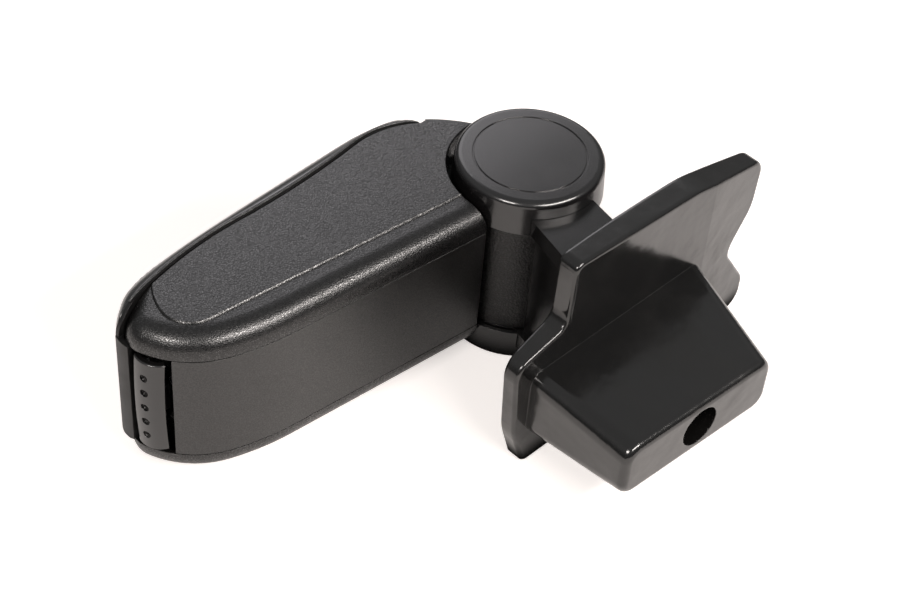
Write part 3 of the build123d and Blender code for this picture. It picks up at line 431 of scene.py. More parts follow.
def new_material(name):
    """Material with a bare Principled shader; returns its tree, shader and object coordinates."""
    made = bpy.data.materials.new(f"{name}_finish")
    made.use_nodes = True
    tree = made.node_tree
    tree.nodes.clear()
    shader = add_node(tree, "ShaderNodeBsdfPrincipled")
    output = add_node(tree, "ShaderNodeOutputMaterial")
    tree.links.new(shader.outputs["BSDF"], output.inputs["Surface"])
    place = add_node(tree, "ShaderNodeTexCoord").outputs["Object"]
    return tree, shader, place


def finish(name):
    """Material that was made for a finish."""
    return bpy.data.materials[f"{name}_finish"]


def set_sockets(shader, **values):
    """Set what is the same all over the surface on the shader's own sockets."""
    for label, value in values.items():
        shader.inputs[label.replace("_", " ")].default_value = value


def paint(tree, shader, tone, mask, span, levels):
    """Give a shader its colour, and a roughness that goes between two levels as a mask goes over a span."""
    feed(tree, shader.inputs["Base Color"], tone)
    feed(tree, shader.inputs["Roughness"], ramp(tree, mask, span, levels))


def bump(tree, shader, height, depth, edge=0.0005):
    """Feed a height into the shader's normal, over edges softened by a radius."""
    soft = add_node(tree, "ShaderNodeBevel", samples=4)
    soft.inputs["Radius"].default_value = edge
    made = add_node(tree, "ShaderNodeBump")
    made.inputs["Distance"].default_value = depth
    tree.links.new(height, made.inputs["Height"])
    tree.links.new(soft.outputs["Normal"], made.inputs["Normal"])
    tree.links.new(made.outputs["Normal"], shader.inputs["Normal"])


def opaque(tone):
    """Colour with full alpha."""
    return (*tone, 1.0)


def darker(tone, share):
    """Colour brought down to a share of itself, with full alpha."""
    return opaque(tuple(channel * share for channel in tone))


def tint(tree, mask, share, tone, over):
    """Tone with a share of another colour over it where a mask is."""
    return blend_colours(tree, calc(tree, "MULTIPLY", mask, share), tone, opaque(over))


def make_grained_plastic(sizes, colours):
    """Side shells: black moulding with a pebble grain whose crests shine and are painted lighter, with
    painted shade in the creases, rubbed edges and a few specks.
    """
    tree, shader, place = new_material("grained_plastic")
    grain = place_group(tree, "pebble_grain", place, Cell=sizes.pebble)
    dust = place_group(tree, "dust", place, Spacing=0.012, Speck=0.022, Share=0.16)
    wear = place_group(tree, "edge_wear", place, Reach=0.0005)
    # Painted glint and shade: the crests take the shell tone, the creases the darker crease tone.
    tone = blend_colours(tree, grain["Crest"], opaque(colours.crease), opaque(colours.shell))
    tone = tint(tree, wear["Edge"], 0.04, tone, colours.dust)
    tone = tint(tree, dust["Specks"], 0.55, tone, colours.dust)
    paint(tree, shader, tone, grain["Crease"], WHOLE, (0.20, 0.40))
    feed(tree, shader.inputs["Coat Weight"], grain["Crest"])
    set_sockets(shader, Coat_Roughness=0.2, Specular_IOR_Level=0.66)
    bump(tree, shader, grain["Height"], depth=0.00006)


def make_fine_plastic(sizes, colours):
    """Underside and rear cover: matt moulding with a fine grain."""
    tree, shader, place = new_material("fine_grained_plastic")
    fine = place_group(tree, "fine_grain", place, Cell=sizes.fine)
    # Crest of the fine grain: it weights the coat and paints the lighter glint tone over the painted crease
    # shade.
    crest = ramp(tree, fine["Height"], (0.4, 0.65))
    matt_moulding(tree, shader, place, colours, crest, fine["Cloud"])
    set_sockets(shader, Specular_IOR_Level=0.75)
    bump(tree, shader, fine["Height"], depth=0.00005)


def make_wrinkled_plastic(sizes, colours):
    """Knuckle: matt moulding with a wrinkled grain."""
    tree, shader, place = new_material("wrinkled_plastic")
    fine = place_group(tree, "fine_grain", place, Cell=sizes.wrinkle)
    grain = place_group(tree, "pebble_grain", place, Cell=sizes.wrinkle)
    matt_moulding(tree, shader, place, colours, grain["Crest"], fine["Cloud"])
    set_sockets(shader, Specular_IOR_Level=0.5)
    bump(tree, shader, grain["Height"], depth=0.00018)


def matt_moulding(tree, shader, place, colours, crest, cloud):
    """Colour, specks, roughness and coat that the matt mouldings share; the colour is painted lighter on
    the grain's crests and darker between them as painted glint and shade.
    """
    dust = place_group(tree, "dust", place, Spacing=0.015, Speck=0.02, Share=0.12)
    # Painted glint and shade: crest tone on the lumps, darker crease tone between them.
    tone = blend_colours(tree, crest, opaque(colours.crease), opaque(colours.underside))
    tone = tint(tree, dust["Specks"], 0.6, tone, colours.dust)
    paint(tree, shader, tone, cloud, NOISE_SPAN, (0.32, 0.38))
    feed(tree, shader.inputs["Coat Weight"], calc(tree, "MULTIPLY", crest, 0.4))
    set_sockets(shader, Coat_Roughness=0.3)


def make_satin_plastic(sizes, colours):
    """Hub caps, fork and button: satin moulding with a faint texture and rubbed rims."""
    tree, shader, place = new_material("satin_plastic")
    fine = place_group(tree, "fine_grain", place, Cell=sizes.fine)
    dust = place_group(tree, "dust", place, Spacing=0.013, Speck=0.02, Share=0.12)
    wear = place_group(tree, "edge_wear", place, Reach=0.0005)
    tone = tint(tree, wear["Edge"], 0.05, opaque(colours.satin), colours.dust)
    tone = tint(tree, dust["Specks"], 0.6, tone, colours.dust)
    paint(tree, shader, tone, fine["Cloud"], NOISE_SPAN, (0.17, 0.21))
    set_sockets(shader, Specular_IOR_Level=0.9)
    bump(tree, shader, fine["Height"], depth=0.00001)


def make_smooth_plastic(sizes, colours):
    """Tray, lid base and latch: plain moulding with slight sheen changes."""
    tree, shader, place = new_material("smooth_plastic")
    fine = place_group(tree, "fine_grain", place, Cell=sizes.pebble)
    dust = place_group(tree, "dust", place, Spacing=0.012, Speck=0.02, Share=0.15)
    wear = place_group(tree, "edge_wear", place, Reach=0.0004)
    tone = tint(tree, wear["Edge"], 0.05, opaque(colours.smooth), colours.dust)
    tone = tint(tree, dust["Specks"], 0.6, tone, colours.dust)
    paint(tree, shader, tone, fine["Cloud"], NOISE_SPAN, (0.4, 0.48))
    bump(tree, shader, fine["Height"], depth=0.00002)


def make_shade_filler_plastic(sizes, colours):
    """Seal and dimple discs: dull black that hardly shines, put in the gap under the bead and in the
    dimples as painted shade.
    """
    tree, shader, place = new_material("shade_filler_plastic")
    fine = place_group(tree, "fine_grain", place, Cell=sizes.fine)
    tone = blend_colours(tree, fine["Cloud"], opaque(colours.crease), opaque(colours.compound))
    paint(tree, shader, tone, fine["Height"], NOISE_SPAN, (0.55, 0.7))
    set_sockets(shader, Specular_IOR_Level=0.15)
    bump(tree, shader, fine["Height"], depth=0.00002)


def make_bead_plastic(sizes, colours):
    """Lid bead: grained black piping that glints broadly on its crests, which are also painted lighter over
    painted shade in the creases.
    """
    tree, shader, place = new_material("bead_plastic")
    grain = place_group(tree, "pebble_grain", place, Cell=sizes.pebble)
    # Painted glint and shade: crests in the shell tone, creases in the darker crease tone.
    tone = blend_colours(tree, grain["Crest"], opaque(colours.crease), opaque(colours.shell))
    paint(tree, shader, tone, grain["Crease"], WHOLE, (0.36, 0.5))
    feed(tree, shader.inputs["Coat Weight"], grain["Crest"])
    set_sockets(shader, Coat_Roughness=0.38, Coat_IOR=2.2, Specular_IOR_Level=1.0)
    bump(tree, shader, grain["Height"], depth=0.00012)


def make_adapter_compound(sizes, colours):
    """Console adapter: cast compound with a slightly wavy glossy skin, haze, scuffs and specks."""
    waves_per_metre = 55.0
    fine_height = 0.02
    tree, shader, place = new_material("adapter_compound")
    fine = place_group(tree, "fine_grain", place, Cell=sizes.pebble)
    dust = place_group(tree, "dust", place, Spacing=0.009, Speck=0.03, Share=0.2)
    wear = place_group(tree, "edge_wear", place, Reach=0.0008)
    wave = noise(tree, place, waves_per_metre)
    tone = tint(tree, wear["Edge"], 0.04, opaque(colours.compound), colours.dust)
    tone = tint(tree, dust["Haze"], 0.008, tone, colours.dust)
    tone = tint(tree, dust["Specks"], 0.5, tone, colours.dust)
    paint(tree, shader, tone, dust["Haze"], WHOLE, (0.15, 0.26))
    feed(tree, shader.inputs["Coat Weight"], ramp(tree, dust["Haze"], WHOLE, (0.48, 0.3)))
    set_sockets(shader, Coat_Roughness=0.14, Coat_IOR=1.55, Specular_IOR_Level=0.55)
    height = calc(tree, "ADD", wave.outputs["Fac"], calc(tree, "MULTIPLY", fine["Height"], fine_height))
    bump(tree, shader, height, depth=0.0006, edge=0.0008)


def make_leatherette(sizes, colours):
    """Lid cover: soft black leatherette with a shallow grain and a bright sheen where it turns away."""
    tree, shader, place = new_material("leatherette")
    grain = place_group(tree, "pebble_grain", place, Cell=sizes.hide)
    fine = place_group(tree, "fine_grain", place, Cell=sizes.pebble)
    dust = place_group(tree, "dust", place, Spacing=0.014, Speck=0.02, Share=0.15)
    # Painted glint and shade: crests in the hide tone, creases in the darker crease tone.
    tone = blend_colours(tree, grain["Crest"], opaque(colours.crease), opaque(colours.hide))
    tone = tint(tree, dust["Specks"], 0.5, tone, colours.dust)
    paint(tree, shader, tone, fine["Cloud"], NOISE_SPAN, (0.22, 0.28))
    feed(tree, shader.inputs["Coat Weight"], ramp(tree, grain["Crest"], (0.0, 0.6), (0.7, 1.0)))
    set_sockets(shader, Coat_Roughness=0.16, Coat_IOR=1.7, Specular_IOR_Level=0.9)
    set_sockets(shader, Sheen_Weight=0.05, Sheen_Roughness=0.4)
    bump(tree, shader, grain["Height"], depth=0.00002)


def make_thread(sizes, colours):
    """Sewing thread: twisted strands seen as fine slanting lines."""
    strands_per_metre = 900.0
    tree, shader, place = new_material("thread")
    fine = place_group(tree, "fine_grain", place, Cell=sizes.fine)
    lines = add_node(tree, "ShaderNodeTexWave", wave_type="BANDS", bands_direction="DIAGONAL")
    feed(tree, lines.inputs["Vector"], place)
    lines.inputs["Scale"].default_value = strands_per_metre
    tone = blend_colours(tree, fine["Height"], opaque(colours.thread), opaque(colours.hide))
    feed(tree, shader.inputs["Base Color"], tone)
    set_sockets(shader, Roughness=0.55)
    bump(tree, shader, lines.outputs["Fac"], depth=0.0001)


def make_zinc_steel(sizes, colours):
    """Fasteners and spring: zinc plated steel with faint streaks."""
    tree, shader, place = new_material("zinc_steel")
    fine = place_group(tree, "fine_grain", place, Cell=sizes.pebble)
    tone = blend_colours(tree, fine["Cloud"], opaque(colours.steel), darker(colours.steel, 0.8))
    paint(tree, shader, tone, fine["Height"], NOISE_SPAN, (0.28, 0.42))
    set_sockets(shader, Metallic=1.0)
    bump(tree, shader, fine["Height"], depth=0.00002)


def make_bearing_plastic(sizes, colours):
    """Bushes and thrust washers: pale bearing plastic."""
    tree, shader, place = new_material("bearing_plastic")
    fine = place_group(tree, "fine_grain", place, Cell=sizes.pebble)
    tone = blend_colours(tree, fine["Cloud"], opaque(colours.bearing), darker(colours.bearing, 0.9))
    paint(tree, shader, tone, fine["Height"], NOISE_SPAN, (0.38, 0.5))
    bump(tree, shader, fine["Height"], depth=0.00002)


FINISH_MAKERS = (
    make_grained_plastic,
    make_fine_plastic,
    make_wrinkled_plastic,
    make_satin_plastic,
    make_smooth_plastic,
    make_shade_filler_plastic,
    make_bead_plastic,
    make_adapter_compound,
    make_leatherette,
    make_thread,
    make_zinc_steel,
    make_bearing_plastic,
)


class ARMREST_OT_finishes(bpy.types.Operator):
    """Make the finishes that the pieces share"""

    bl_idname = "armrest.finishes"
    bl_label = "Finishes"

    def execute(self, context):
        sizes = context.scene.armrest_sizes
        colours = context.scene.armrest_colours
        make_pebble_grain()
        make_fine_grain()
        make_wear()
        make_dust()
        for make in FINISH_MAKERS:
            make(sizes, colours)
        return {"FINISHED"}


def dress(material, *nodes):
    """Give carried-over nodes their finish."""
    for node in nodes:
        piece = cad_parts[node]
        piece.data.materials.clear()
        piece.data.materials.append(finish(material))


def new_piece(name, mesh, material):
    """Mesh object linked into the scene with its material."""
    made = bpy.data.objects.new(name, mesh)
    bpy.context.scene.collection.objects.link(made)
    mesh.materials.append(material)
    return made


def smooth_faces(mesh):
    """Shade all faces of a mesh smooth."""
    mesh.polygons.foreach_set("use_smooth", [True] * len(mesh.polygons))


def shape_piece(name, shape, material):
    """Piece with smooth faces from a finished shape."""
    bmesh.ops.recalc_face_normals(shape, faces=shape.faces)
    mesh = bpy.data.meshes.new(name)
    shape.to_mesh(mesh)
    shape.free()
    smooth_faces(mesh)
    return new_piece(name, mesh, material)


def settled(piece):
    """Mesh of a piece with its modifiers worked in."""
    graph = bpy.context.evaluated_depsgraph_get()
    return bpy.data.meshes.new_from_object(piece.evaluated_get(graph))


def take_shape(piece):
    """Work a piece's modifiers into its mesh."""
    mesh = settled(piece)
    piece.modifiers.clear()
    old = piece.data
    piece.data = mesh
    bpy.data.meshes.remove(old)


def surface_of(piece):
    """Search tree of a piece's shape with its modifiers."""
    return BVHTree.FromObject(piece, bpy.context.evaluated_depsgraph_get())


def round_ring(shape, centre, first, second, radius, sides):
    """Ring of points about a centre in the plane of two ways."""
    ring = []
    for k in range(sides):
        angle = math.tau * k / sides
        ring.append(shape.verts.new(centre + (first * math.cos(angle) + second * math.sin(angle)) * radius))
    return ring


def join_rings(shape, rings):
    """Faces between rings that follow each other."""
    for before, after in zip(rings, rings[1:]):
        for k in range(len(before)):
            following = (k + 1) % len(before)
            shape.faces.new((before[k], before[following], after[following], after[k]))


def smooth_step(value, low, high):
    """Share from 0 to 1 as a value goes from low to high."""
    share = max(0.0, min(1.0, (value - low) / (high - low)))
    return share * share * (3 - 2 * share)


def pad_stations(skin):
    """Place, underside, top and half width of the lid cushion's solid along the lid, evened out."""
    low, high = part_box("lid_cushion")
    run = high.x - low.x - 2 * PAD_END_GAP
    raw = []
    for i in range(PAD_STATIONS + 1):
        at = low.x + PAD_END_GAP + run * i / PAD_STATIONS
        under = skin.ray_cast(Vector((at, PAD_PROBE_SIDE, cad_low.z)), UP)[0].z
        top = skin.ray_cast(Vector((at, PAD_PROBE_SIDE, FAR_ABOVE)), DOWN)[0].z
        half = 0.0
        for k in range(1, PAD_PROBES):
            height = under + (top - under) * k / PAD_PROBES
            half = max(half, skin.ray_cast(Vector((at, FAR_LEFT, height)), FROM_LEFT)[0].y)
        raw.append((at, under, top, half))
    even = []
    for i in range(PAD_STATIONS + 1):
        reach = min(i, PAD_STATIONS - i, PAD_EVEN_REACH)
        near = raw[i - reach:i + reach + 1]
        even.append((raw[i][0], *(sum(row[k] for row in near) / len(near) for k in (1, 2, 3))))
    return even


def pad_section(under, top, half, crown, shoulder):
    """Loop of places across the pad: flat underside, tucked-in lower edges, wide shoulders and top."""
    base = under + PAD_TUCK
    rise = top + crown - base
    lean_in = math.cos(PAD_LEAN)
    lean_up = math.sin(PAD_LEAN)
    points = []
    for i in range(UNDER_STEPS):
        points.append(((half - PAD_TUCK) * i / UNDER_STEPS, under))
    for i in range(TUCK_STEPS):
        angle = math.pi / 2 * i / TUCK_STEPS
        points.append((half - PAD_TUCK + PAD_TUCK * math.sin(angle), base - PAD_TUCK * math.cos(angle)))
    for i in range(SHOULDER_STEPS):
        angle = PAD_LEAN + (math.pi / 2 - PAD_LEAN) * i / SHOULDER_STEPS
        inside = shoulder * (lean_in - math.cos(angle)) / lean_in
        points.append((half - inside, base + rise * (math.sin(angle) - lean_up) / (1 - lean_up)))
    for i in range(TOP_STEPS + 1):
        points.append(((half - shoulder) * (1 - i / TOP_STEPS), base + rise))
    mirrored = [(-across, height) for across, height in points[-2:0:-1]]
    return points + mirrored


def loft_pad(sizes):
    """Cushion shape lofted from its solid's stations, with a crown that fades at the hinge and the nose."""
    stations = pad_stations(surface_of(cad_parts["lid_cushion"]))
    first = stations[0][0]
    last = stations[-1][0]
    shape = bmesh.new()
    rings = []
    for at, under, top, half in stations:
        share = smooth_step(at, first + CROWN_START[0], first + CROWN_START[1])
        share *= smooth_step(at, last, last - CROWN_END)
        shoulder = END_SHOULDER + (sizes.shoulder - END_SHOULDER) * share
        section = pad_section(under, top, half, sizes.crown * share, shoulder)
        rings.append([shape.verts.new((at, across, height)) for across, height in section])
    join_rings(shape, rings)
    for ring in (rings[0], rings[-1]):
        middle = shape.verts.new(sum((point.co for point in ring), Vector()) / len(ring))
        for i in range(len(ring)):
            shape.faces.new((middle, ring[i], ring[(i + 1) % len(ring)]))
    return shape


def swell_cushion(piece, sizes):
    """Let cloth under pressure fill the pad out a little, held along its base."""
    mesh = piece.data
    start = [point.co.copy() for point in mesh.vertices]
    hold = piece.vertex_groups.new(name="held")
    hold.add([point.index for point in mesh.vertices if point.normal.z < HELD_FACING], 1.0, "REPLACE")
    pad = piece.modifiers.new("swell", "CLOTH")
    pad.settings.quality = 4
    pad.settings.mass = 0.3
    pad.settings.tension_stiffness = 12.0
    pad.settings.compression_stiffness = 12.0
    pad.settings.shear_stiffness = 5.0
    pad.settings.bending_stiffness = 2.0
    pad.settings.vertex_group_mass = "held"
    pad.settings.use_pressure = True
    pad.settings.uniform_pressure_force = 4.0
    pad.settings.effector_weights.gravity = 0.0
    for step in range(1, SWELL_STEPS + 1):
        bpy.context.scene.frame_set(step)
    swollen = settled(piece)
    for point, place, new in zip(mesh.vertices, start, swollen.vertices):
        move = new.co - place
        if move.length > sizes.swell:
            move *= sizes.swell / move.length
        point.co = place + move
    piece.modifiers.clear()
    bpy.data.meshes.remove(swollen)
    bpy.context.scene.frame_set(1)
    mesh.update()


def lid_outline(inset, spacing):
    """Points along the stitched line in plan: up one side, round the nose and back, in the row frame."""
    low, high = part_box("lid_cushion")
    half = high.y - inset
    front = high.x - inset - LINE_NOSE_GAP
    corner = LINE_CORNER - inset / 2
    rear = low.x + LINE_REAR_GAP
    run = front - corner - rear
    turn = corner * math.pi / 2
    across = 2 * (half - corner)
    total = 2 * run + 2 * turn + across
    count = int(total / spacing)
    points = []
    for i in range(count):
        at = total * (i + 0.5) / count
        points.append(outline_point(at, rear, front, half, corner, run, turn, across))
    return points


def outline_point(at, rear, front, half, corner, run, turn, across):
    """Place at a distance along the stitched line."""
    bend = front - corner
    side = half - corner
    if at < run:
        return Vector((rear + at, half, 0))
    at -= run
    if at < turn:
        angle = at / corner
        return Vector((bend + corner * math.sin(angle), side + corner * math.cos(angle), 0))
    at -= turn
    if at < across:
        return Vector((front, side - at, 0))
    at -= across
    if at < turn:
        angle = at / corner
        return Vector((bend + corner * math.cos(angle), -side - corner * math.sin(angle), 0))
    return Vector((bend - (at - turn), -half, 0))


def press_groove(piece, inset, depth):
    """Sink the cover along the stitched line."""
    line = lid_outline(inset, GROOVE_WIDTH / 2)
    near = KDTree(len(line))
    for i, place in enumerate(line):
        near.insert((place.x, place.y, 0), i)
    near.balance()
    facing = [point.normal.copy() for point in piece.data.vertices]
    for point, way in zip(piece.data.vertices, facing):
        if way.z > GROOVE_FACING:
            gap = near.find((point.co.x, point.co.y, 0))[2]
            if gap < 2 * GROOVE_WIDTH:
                point.co -= way * depth * math.exp(-((gap / GROOVE_WIDTH) ** 2) * GROOVE_FALL)
    piece.data.update()


class ARMREST_OT_lid_cushion(bpy.types.Operator):
    """Make the padded lid cover over its solid, swell it and press in the sewn line"""

    bl_idname = "armrest.lid_cushion"
    bl_label = "Lid cushion"

    def execute(self, context):
        sizes = context.scene.armrest_sizes
        piece = shape_piece("lid_pad", loft_pad(sizes), finish("leatherette"))
        swell_cushion(piece, sizes)
        fine = piece.modifiers.new("fine", "SUBSURF")
        fine.levels = 1
        fine.render_levels = 1
        take_shape(piece)
        press_groove(piece, sizes.stitch_inset, sizes.groove)
        smooth_faces(piece.data)
        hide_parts("lid_cushion")
        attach(piece, "lid")
        return {"FINISHED"}


def add_stitch(shape, start, end, normal, radius):
    """One stitch: a slim rounded bar lying on the cover with its ends sunk in."""
    along = end - start
    side = normal.cross(along).normalized()
    rings = []
    for share, girth, lift in STITCH_PROFILE:
        centre = start + along * share + normal * radius * lift
        rings.append(round_ring(shape, centre, side, normal, radius * girth, STITCH_SIDES))
    join_rings(shape, rings)
    shape.faces.new(list(reversed(rings[0])))
    shape.faces.new(rings[-1])


class ARMREST_OT_lid_stitching(bpy.types.Operator):
    """Sew a row of stitches round the lid cover"""

    bl_idname = "armrest.lid_stitching"
    bl_label = "Lid stitching"

    def execute(self, context):
        sizes = context.scene.armrest_sizes
        skin = surface_of(bpy.data.objects["lid_pad"])
        pitch = sizes.stitch_length + sizes.stitch_gap
        line = lid_outline(sizes.stitch_inset, pitch / STITCH_STEPS)
        shape = bmesh.new()
        lift = Vector((0, 0, FAR_ABOVE))
        reach = int(STITCH_STEPS * sizes.stitch_length / pitch)
        for i in range(0, len(line) - reach, STITCH_STEPS):
            start, start_normal = skin.ray_cast(line[i] + lift, DOWN)[:2]
            end, end_normal = skin.ray_cast(line[i + reach] + lift, DOWN)[:2]
            if start is None or end is None:
                raise RuntimeError("the stitched line leaves the lid cover")
            add_stitch(shape, start, end, (start_normal + end_normal).normalized(), sizes.thread / 2)
        piece = shape_piece("lid_stitching", shape, finish("thread"))
        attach(piece, "lid")
        return {"FINISHED"}


def add_tube(shape, path, radius, lead=UP, sides=10):
    """Round bar with closed ends along a path of points, which nowhere runs along its lead."""
    rings = []
    for i, centre in enumerate(path):
        along = path[min(i + 1, len(path) - 1)] - path[max(i - 1, 0)]
        first = along.cross(lead).normalized()
        second = along.cross(first).normalized()
        rings.append(round_ring(shape, centre, first, second, radius, sides))
    join_rings(shape, rings)
    shape.faces.new(rings[0])
    shape.faces.new(rings[-1])


def lid_edge(rise, out):
    """Points along the lid base's left edge from the hinge to the nose, at a rise from its underside."""
    base = surface_of(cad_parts["lid_base"])
    low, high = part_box("lid_base")
    points = []
    at = low.x + EDGE_REAR_GAP
    while at < high.x - EDGE_NOSE_GAP:
        under = base.ray_cast(Vector((at, high.y - EDGE_PROBE_INSET, cad_low.z)), UP)[0]
        if under is None:
            raise RuntimeError("the lid base's edge was not found")
        side = base.ray_cast(Vector((at, FAR_LEFT, under.z + EDGE_PROBE_RISE)), FROM_LEFT)[0]
        points.append(Vector((at, side.y + out, under.z + rise)))
        at += EDGE_STEP
    return points


class ARMREST_OT_lid_bead(bpy.types.Operator):
    """Run a grained bead along both edges of the lid base, and under it a dull black seal that paints the
    shade in the gap
    """

    bl_idname = "armrest.lid_bead"
    bl_label = "Lid bead and seal"

    def execute(self, context):
        sizes = context.scene.armrest_sizes
        lines = (
            ("lid_bead", sizes.bead_rise, BEAD_OUT, sizes.bead, "bead_plastic", "grained_plastic"),
            # The seal is a dull black strip that paints the shade in the gap under the bead.
            ("lid_gap_shade_seal", sizes.seal_rise, SEAL_OUT, sizes.seal, "shade_filler_plastic", "smooth_plastic"),
        )
        for name, rise, out, radius, material, slot in lines:
            shape = bmesh.new()
            path = lid_edge(rise, out)
            add_tube(shape, path, radius)
            add_tube(shape, [Vector((point.x, -point.y, point.z)) for point in path], radius)
            piece = shape_piece(name, shape, finish(material))
            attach(piece, "lid")
        return {"FINISHED"}


class ARMREST_OT_side_shells(bpy.types.Operator):
    """Finish the two grained side shells"""

    bl_idname = "armrest.side_shells"
    bl_label = "Side shells"

    def execute(self, context):
        dress("grained_plastic", *SHELL_NODES)
        return {"FINISHED"}


class ARMREST_OT_covers(bpy.types.Operator):
    """Finish the underside cover, rear cover and knuckle"""

    bl_idname = "armrest.covers"
    bl_label = "Covers and knuckle"

    def execute(self, context):
        dress("fine_grained_plastic", "underside_cover", "rear_top_cover")
        dress("wrinkled_plastic", "arm_core")
        return {"FINISHED"}


class ARMREST_OT_hub(bpy.types.Operator):
    """Finish the hub caps and the fork"""

    bl_idname = "armrest.hub"
    bl_label = "Hub"

    def execute(self, context):
        dress("satin_plastic", *HUB_NODES)
        return {"FINISHED"}


class ARMREST_OT_adapter(bpy.types.Operator):
    """Finish the console adapter"""

    bl_idname = "armrest.adapter"
    bl_label = "Console adapter"

    def execute(self, context):
        dress("adapter_compound", "console_adapter")
        return {"FINISHED"}


class ARMREST_OT_latch(bpy.types.Operator):
    """Finish the lid base, latch and storage tray"""

    bl_idname = "armrest.latch"
    bl_label = "Lid base, latch and tray"

    def execute(self, context):
        dress("satin_plastic", "latch_button")
        dress("smooth_plastic", *INNER_NODES)
        return {"FINISHED"}


def add_turning(shape, centre, axis, profile, sides=20):
    """Closed turned form from radius and height pairs about an axis."""
    first = axis.orthogonal().normalized()
    second = axis.cross(first)
    tip = shape.verts.new(centre + axis * profile[0][1])
    foot = shape.verts.new(centre + axis * profile[-1][1])
    rings = []
    for radius, height in profile[1:-1]:
        rings.append(round_ring(shape, centre + axis * height, first, second, radius, sides))
    join_rings(shape, rings)
    for k in range(sides):
        following = (k + 1) % sides
        shape.faces.new((tip, rings[0][following], rings[0][k]))
        shape.faces.new((foot, rings[-1][k], rings[-1][following]))


class ARMREST_OT_button_studs(bpy.types.Operator):
    """Line the button's five dimples with a dull dark disc as painted shade and a small stud"""

    bl_idname = "armrest.button_studs"
    bl_label = "Button studs"

    def execute(self, context):
        button = surface_of(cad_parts["latch_button"])
        linings = (
            # The dull discs paint the shade inside the dimples; the studs are real shape.
            ("dimple_shade_discs", SHADE_DISC_PROFILE, "shade_filler_plastic"),
            ("button_studs", STUD_PROFILE, "satin_plastic"),
        )
        for name, profile, material in linings:
            shape = bmesh.new()
            for place in DIMPLE_PLACES:
                start = Vector((FAR_FRONT, place * DIMPLE_PITCH, DIMPLE_LEVEL))
                hit, normal = button.ray_cast(start, REARWARD)[:2]
                if hit is None:
                    raise RuntimeError("a dimple of the button was not found")
                add_turning(shape, hit, normal, profile)
            piece = shape_piece(name, shape, finish(material))
            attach(piece, "button")
        return {"FINISHED"}


class ARMREST_OT_latch_spring(bpy.types.Operator):
    """Wind the latch's return spring as a coil held on the arm at its built length"""

    bl_idname = "armrest.latch_spring"
    bl_label = "Latch spring"

    def execute(self, context):
        wire = context.scene.armrest_sizes.spring_wire
        low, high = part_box("latch_spring")
        middle = (low + high) / 2
        radius = (high.z - low.z) / 2 - wire
        whole = high.x - low.x
        run = whole - 2 * wire
        steps = SPRING_TURNS * TURN_STEPS
        path = []
        for i in range(steps + 1):
            angle = math.tau * i / TURN_STEPS
            reach = Vector((0, math.cos(angle), math.sin(angle))) * radius
            path.append(Vector((low.x + wire + run * i / steps, middle.y, middle.z)) + reach)
        shape = bmesh.new()
        add_tube(shape, path, wire, lead=REARWARD)
        piece = shape_piece("latch_coil", shape, finish("zinc_steel"))
        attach(piece, "arm")
        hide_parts("latch_spring")
        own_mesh(piece)
        return {"FINISHED"}


class ARMREST_OT_fasteners(bpy.types.Operator):
    """Finish the bolts, screws, washers and bushes"""

    bl_idname = "armrest.fasteners"
    bl_label = "Fasteners and bushes"

    def execute(self, context):
        dress("zinc_steel", *STEEL_NODES)
        dress("bearing_plastic", *BEARING_NODES)
        return {"FINISHED"}


def make_floor_material(tone):
    """White studio floor that keeps the shadow, is clear from behind, and is painted dark in reflections
    near the armrest as painted contact shade.
    """
    made = bpy.data.materials.new("studio_floor")
    made.use_nodes = True
    tree = made.node_tree
    tree.nodes.clear()
    path = add_node(tree, "ShaderNodeLightPath")
    mirrored = calc(tree, "MAXIMUM", path.outputs["Is Glossy Ray"], path.outputs["Is Transmission Ray"])
    # Painted contact shade: reflected rays that meet the floor within a short reach of the armrest see it
    # dark.
    near = ramp(tree, path.outputs["Ray Length"], CONTACT_SHADE_SPAN, (1.0, 0.0))
    close = calc(tree, "MULTIPLY", mirrored, near)
    matt = add_node(tree, "ShaderNodeBsdfDiffuse")
    feed(tree, matt.inputs["Color"], blend_colours(tree, close, opaque(tone), CONTACT_SHADE_TONE))
    seen = calc(tree, "MULTIPLY", path.outputs["Is Camera Ray"], FLOOR_SEEN)
    open_mirror = calc(tree, "MULTIPLY", calc(tree, "SUBTRACT", mirrored, close), FLOOR_MIRRORED)
    lift = add_node(tree, "ShaderNodeEmission")
    lift.inputs["Color"].default_value = FLOOR_GLOW
    feed(tree, lift.inputs["Strength"], calc(tree, "ADD", seen, open_mirror))
    both = add_node(tree, "ShaderNodeAddShader")
    tree.links.new(matt.outputs[0], both.inputs[0])
    tree.links.new(lift.outputs[0], both.inputs[1])
    clear = add_node(tree, "ShaderNodeBsdfTransparent")
    side = add_node(tree, "ShaderNodeNewGeometry")
    pick = add_node(tree, "ShaderNodeMixShader")
    tree.links.new(side.outputs["Backfacing"], pick.inputs[0])
    tree.links.new(both.outputs[0], pick.inputs[1])
    tree.links.new(clear.outputs[0], pick.inputs[2])
    output = add_node(tree, "ShaderNodeOutputMaterial")
    tree.links.new(pick.outputs[0], output.inputs["Surface"])
    return made


def make_floor(tone):
    """Floor under the right side, on which the armrest lies."""
    level = cad_low.y - FLOOR_GAP
    corners = []
    for x, z in ((-1, -1), (-1, 1), (1, 1), (1, -1)):
        corners.append((x * FLOOR_REACH, level, z * FLOOR_REACH))
    mesh = bpy.data.meshes.new("studio_floor")
    mesh.from_pydata(corners, [], [(0, 1, 2, 3)])
    mesh.update()
    new_piece("studio_floor", mesh, make_floor_material(tone))


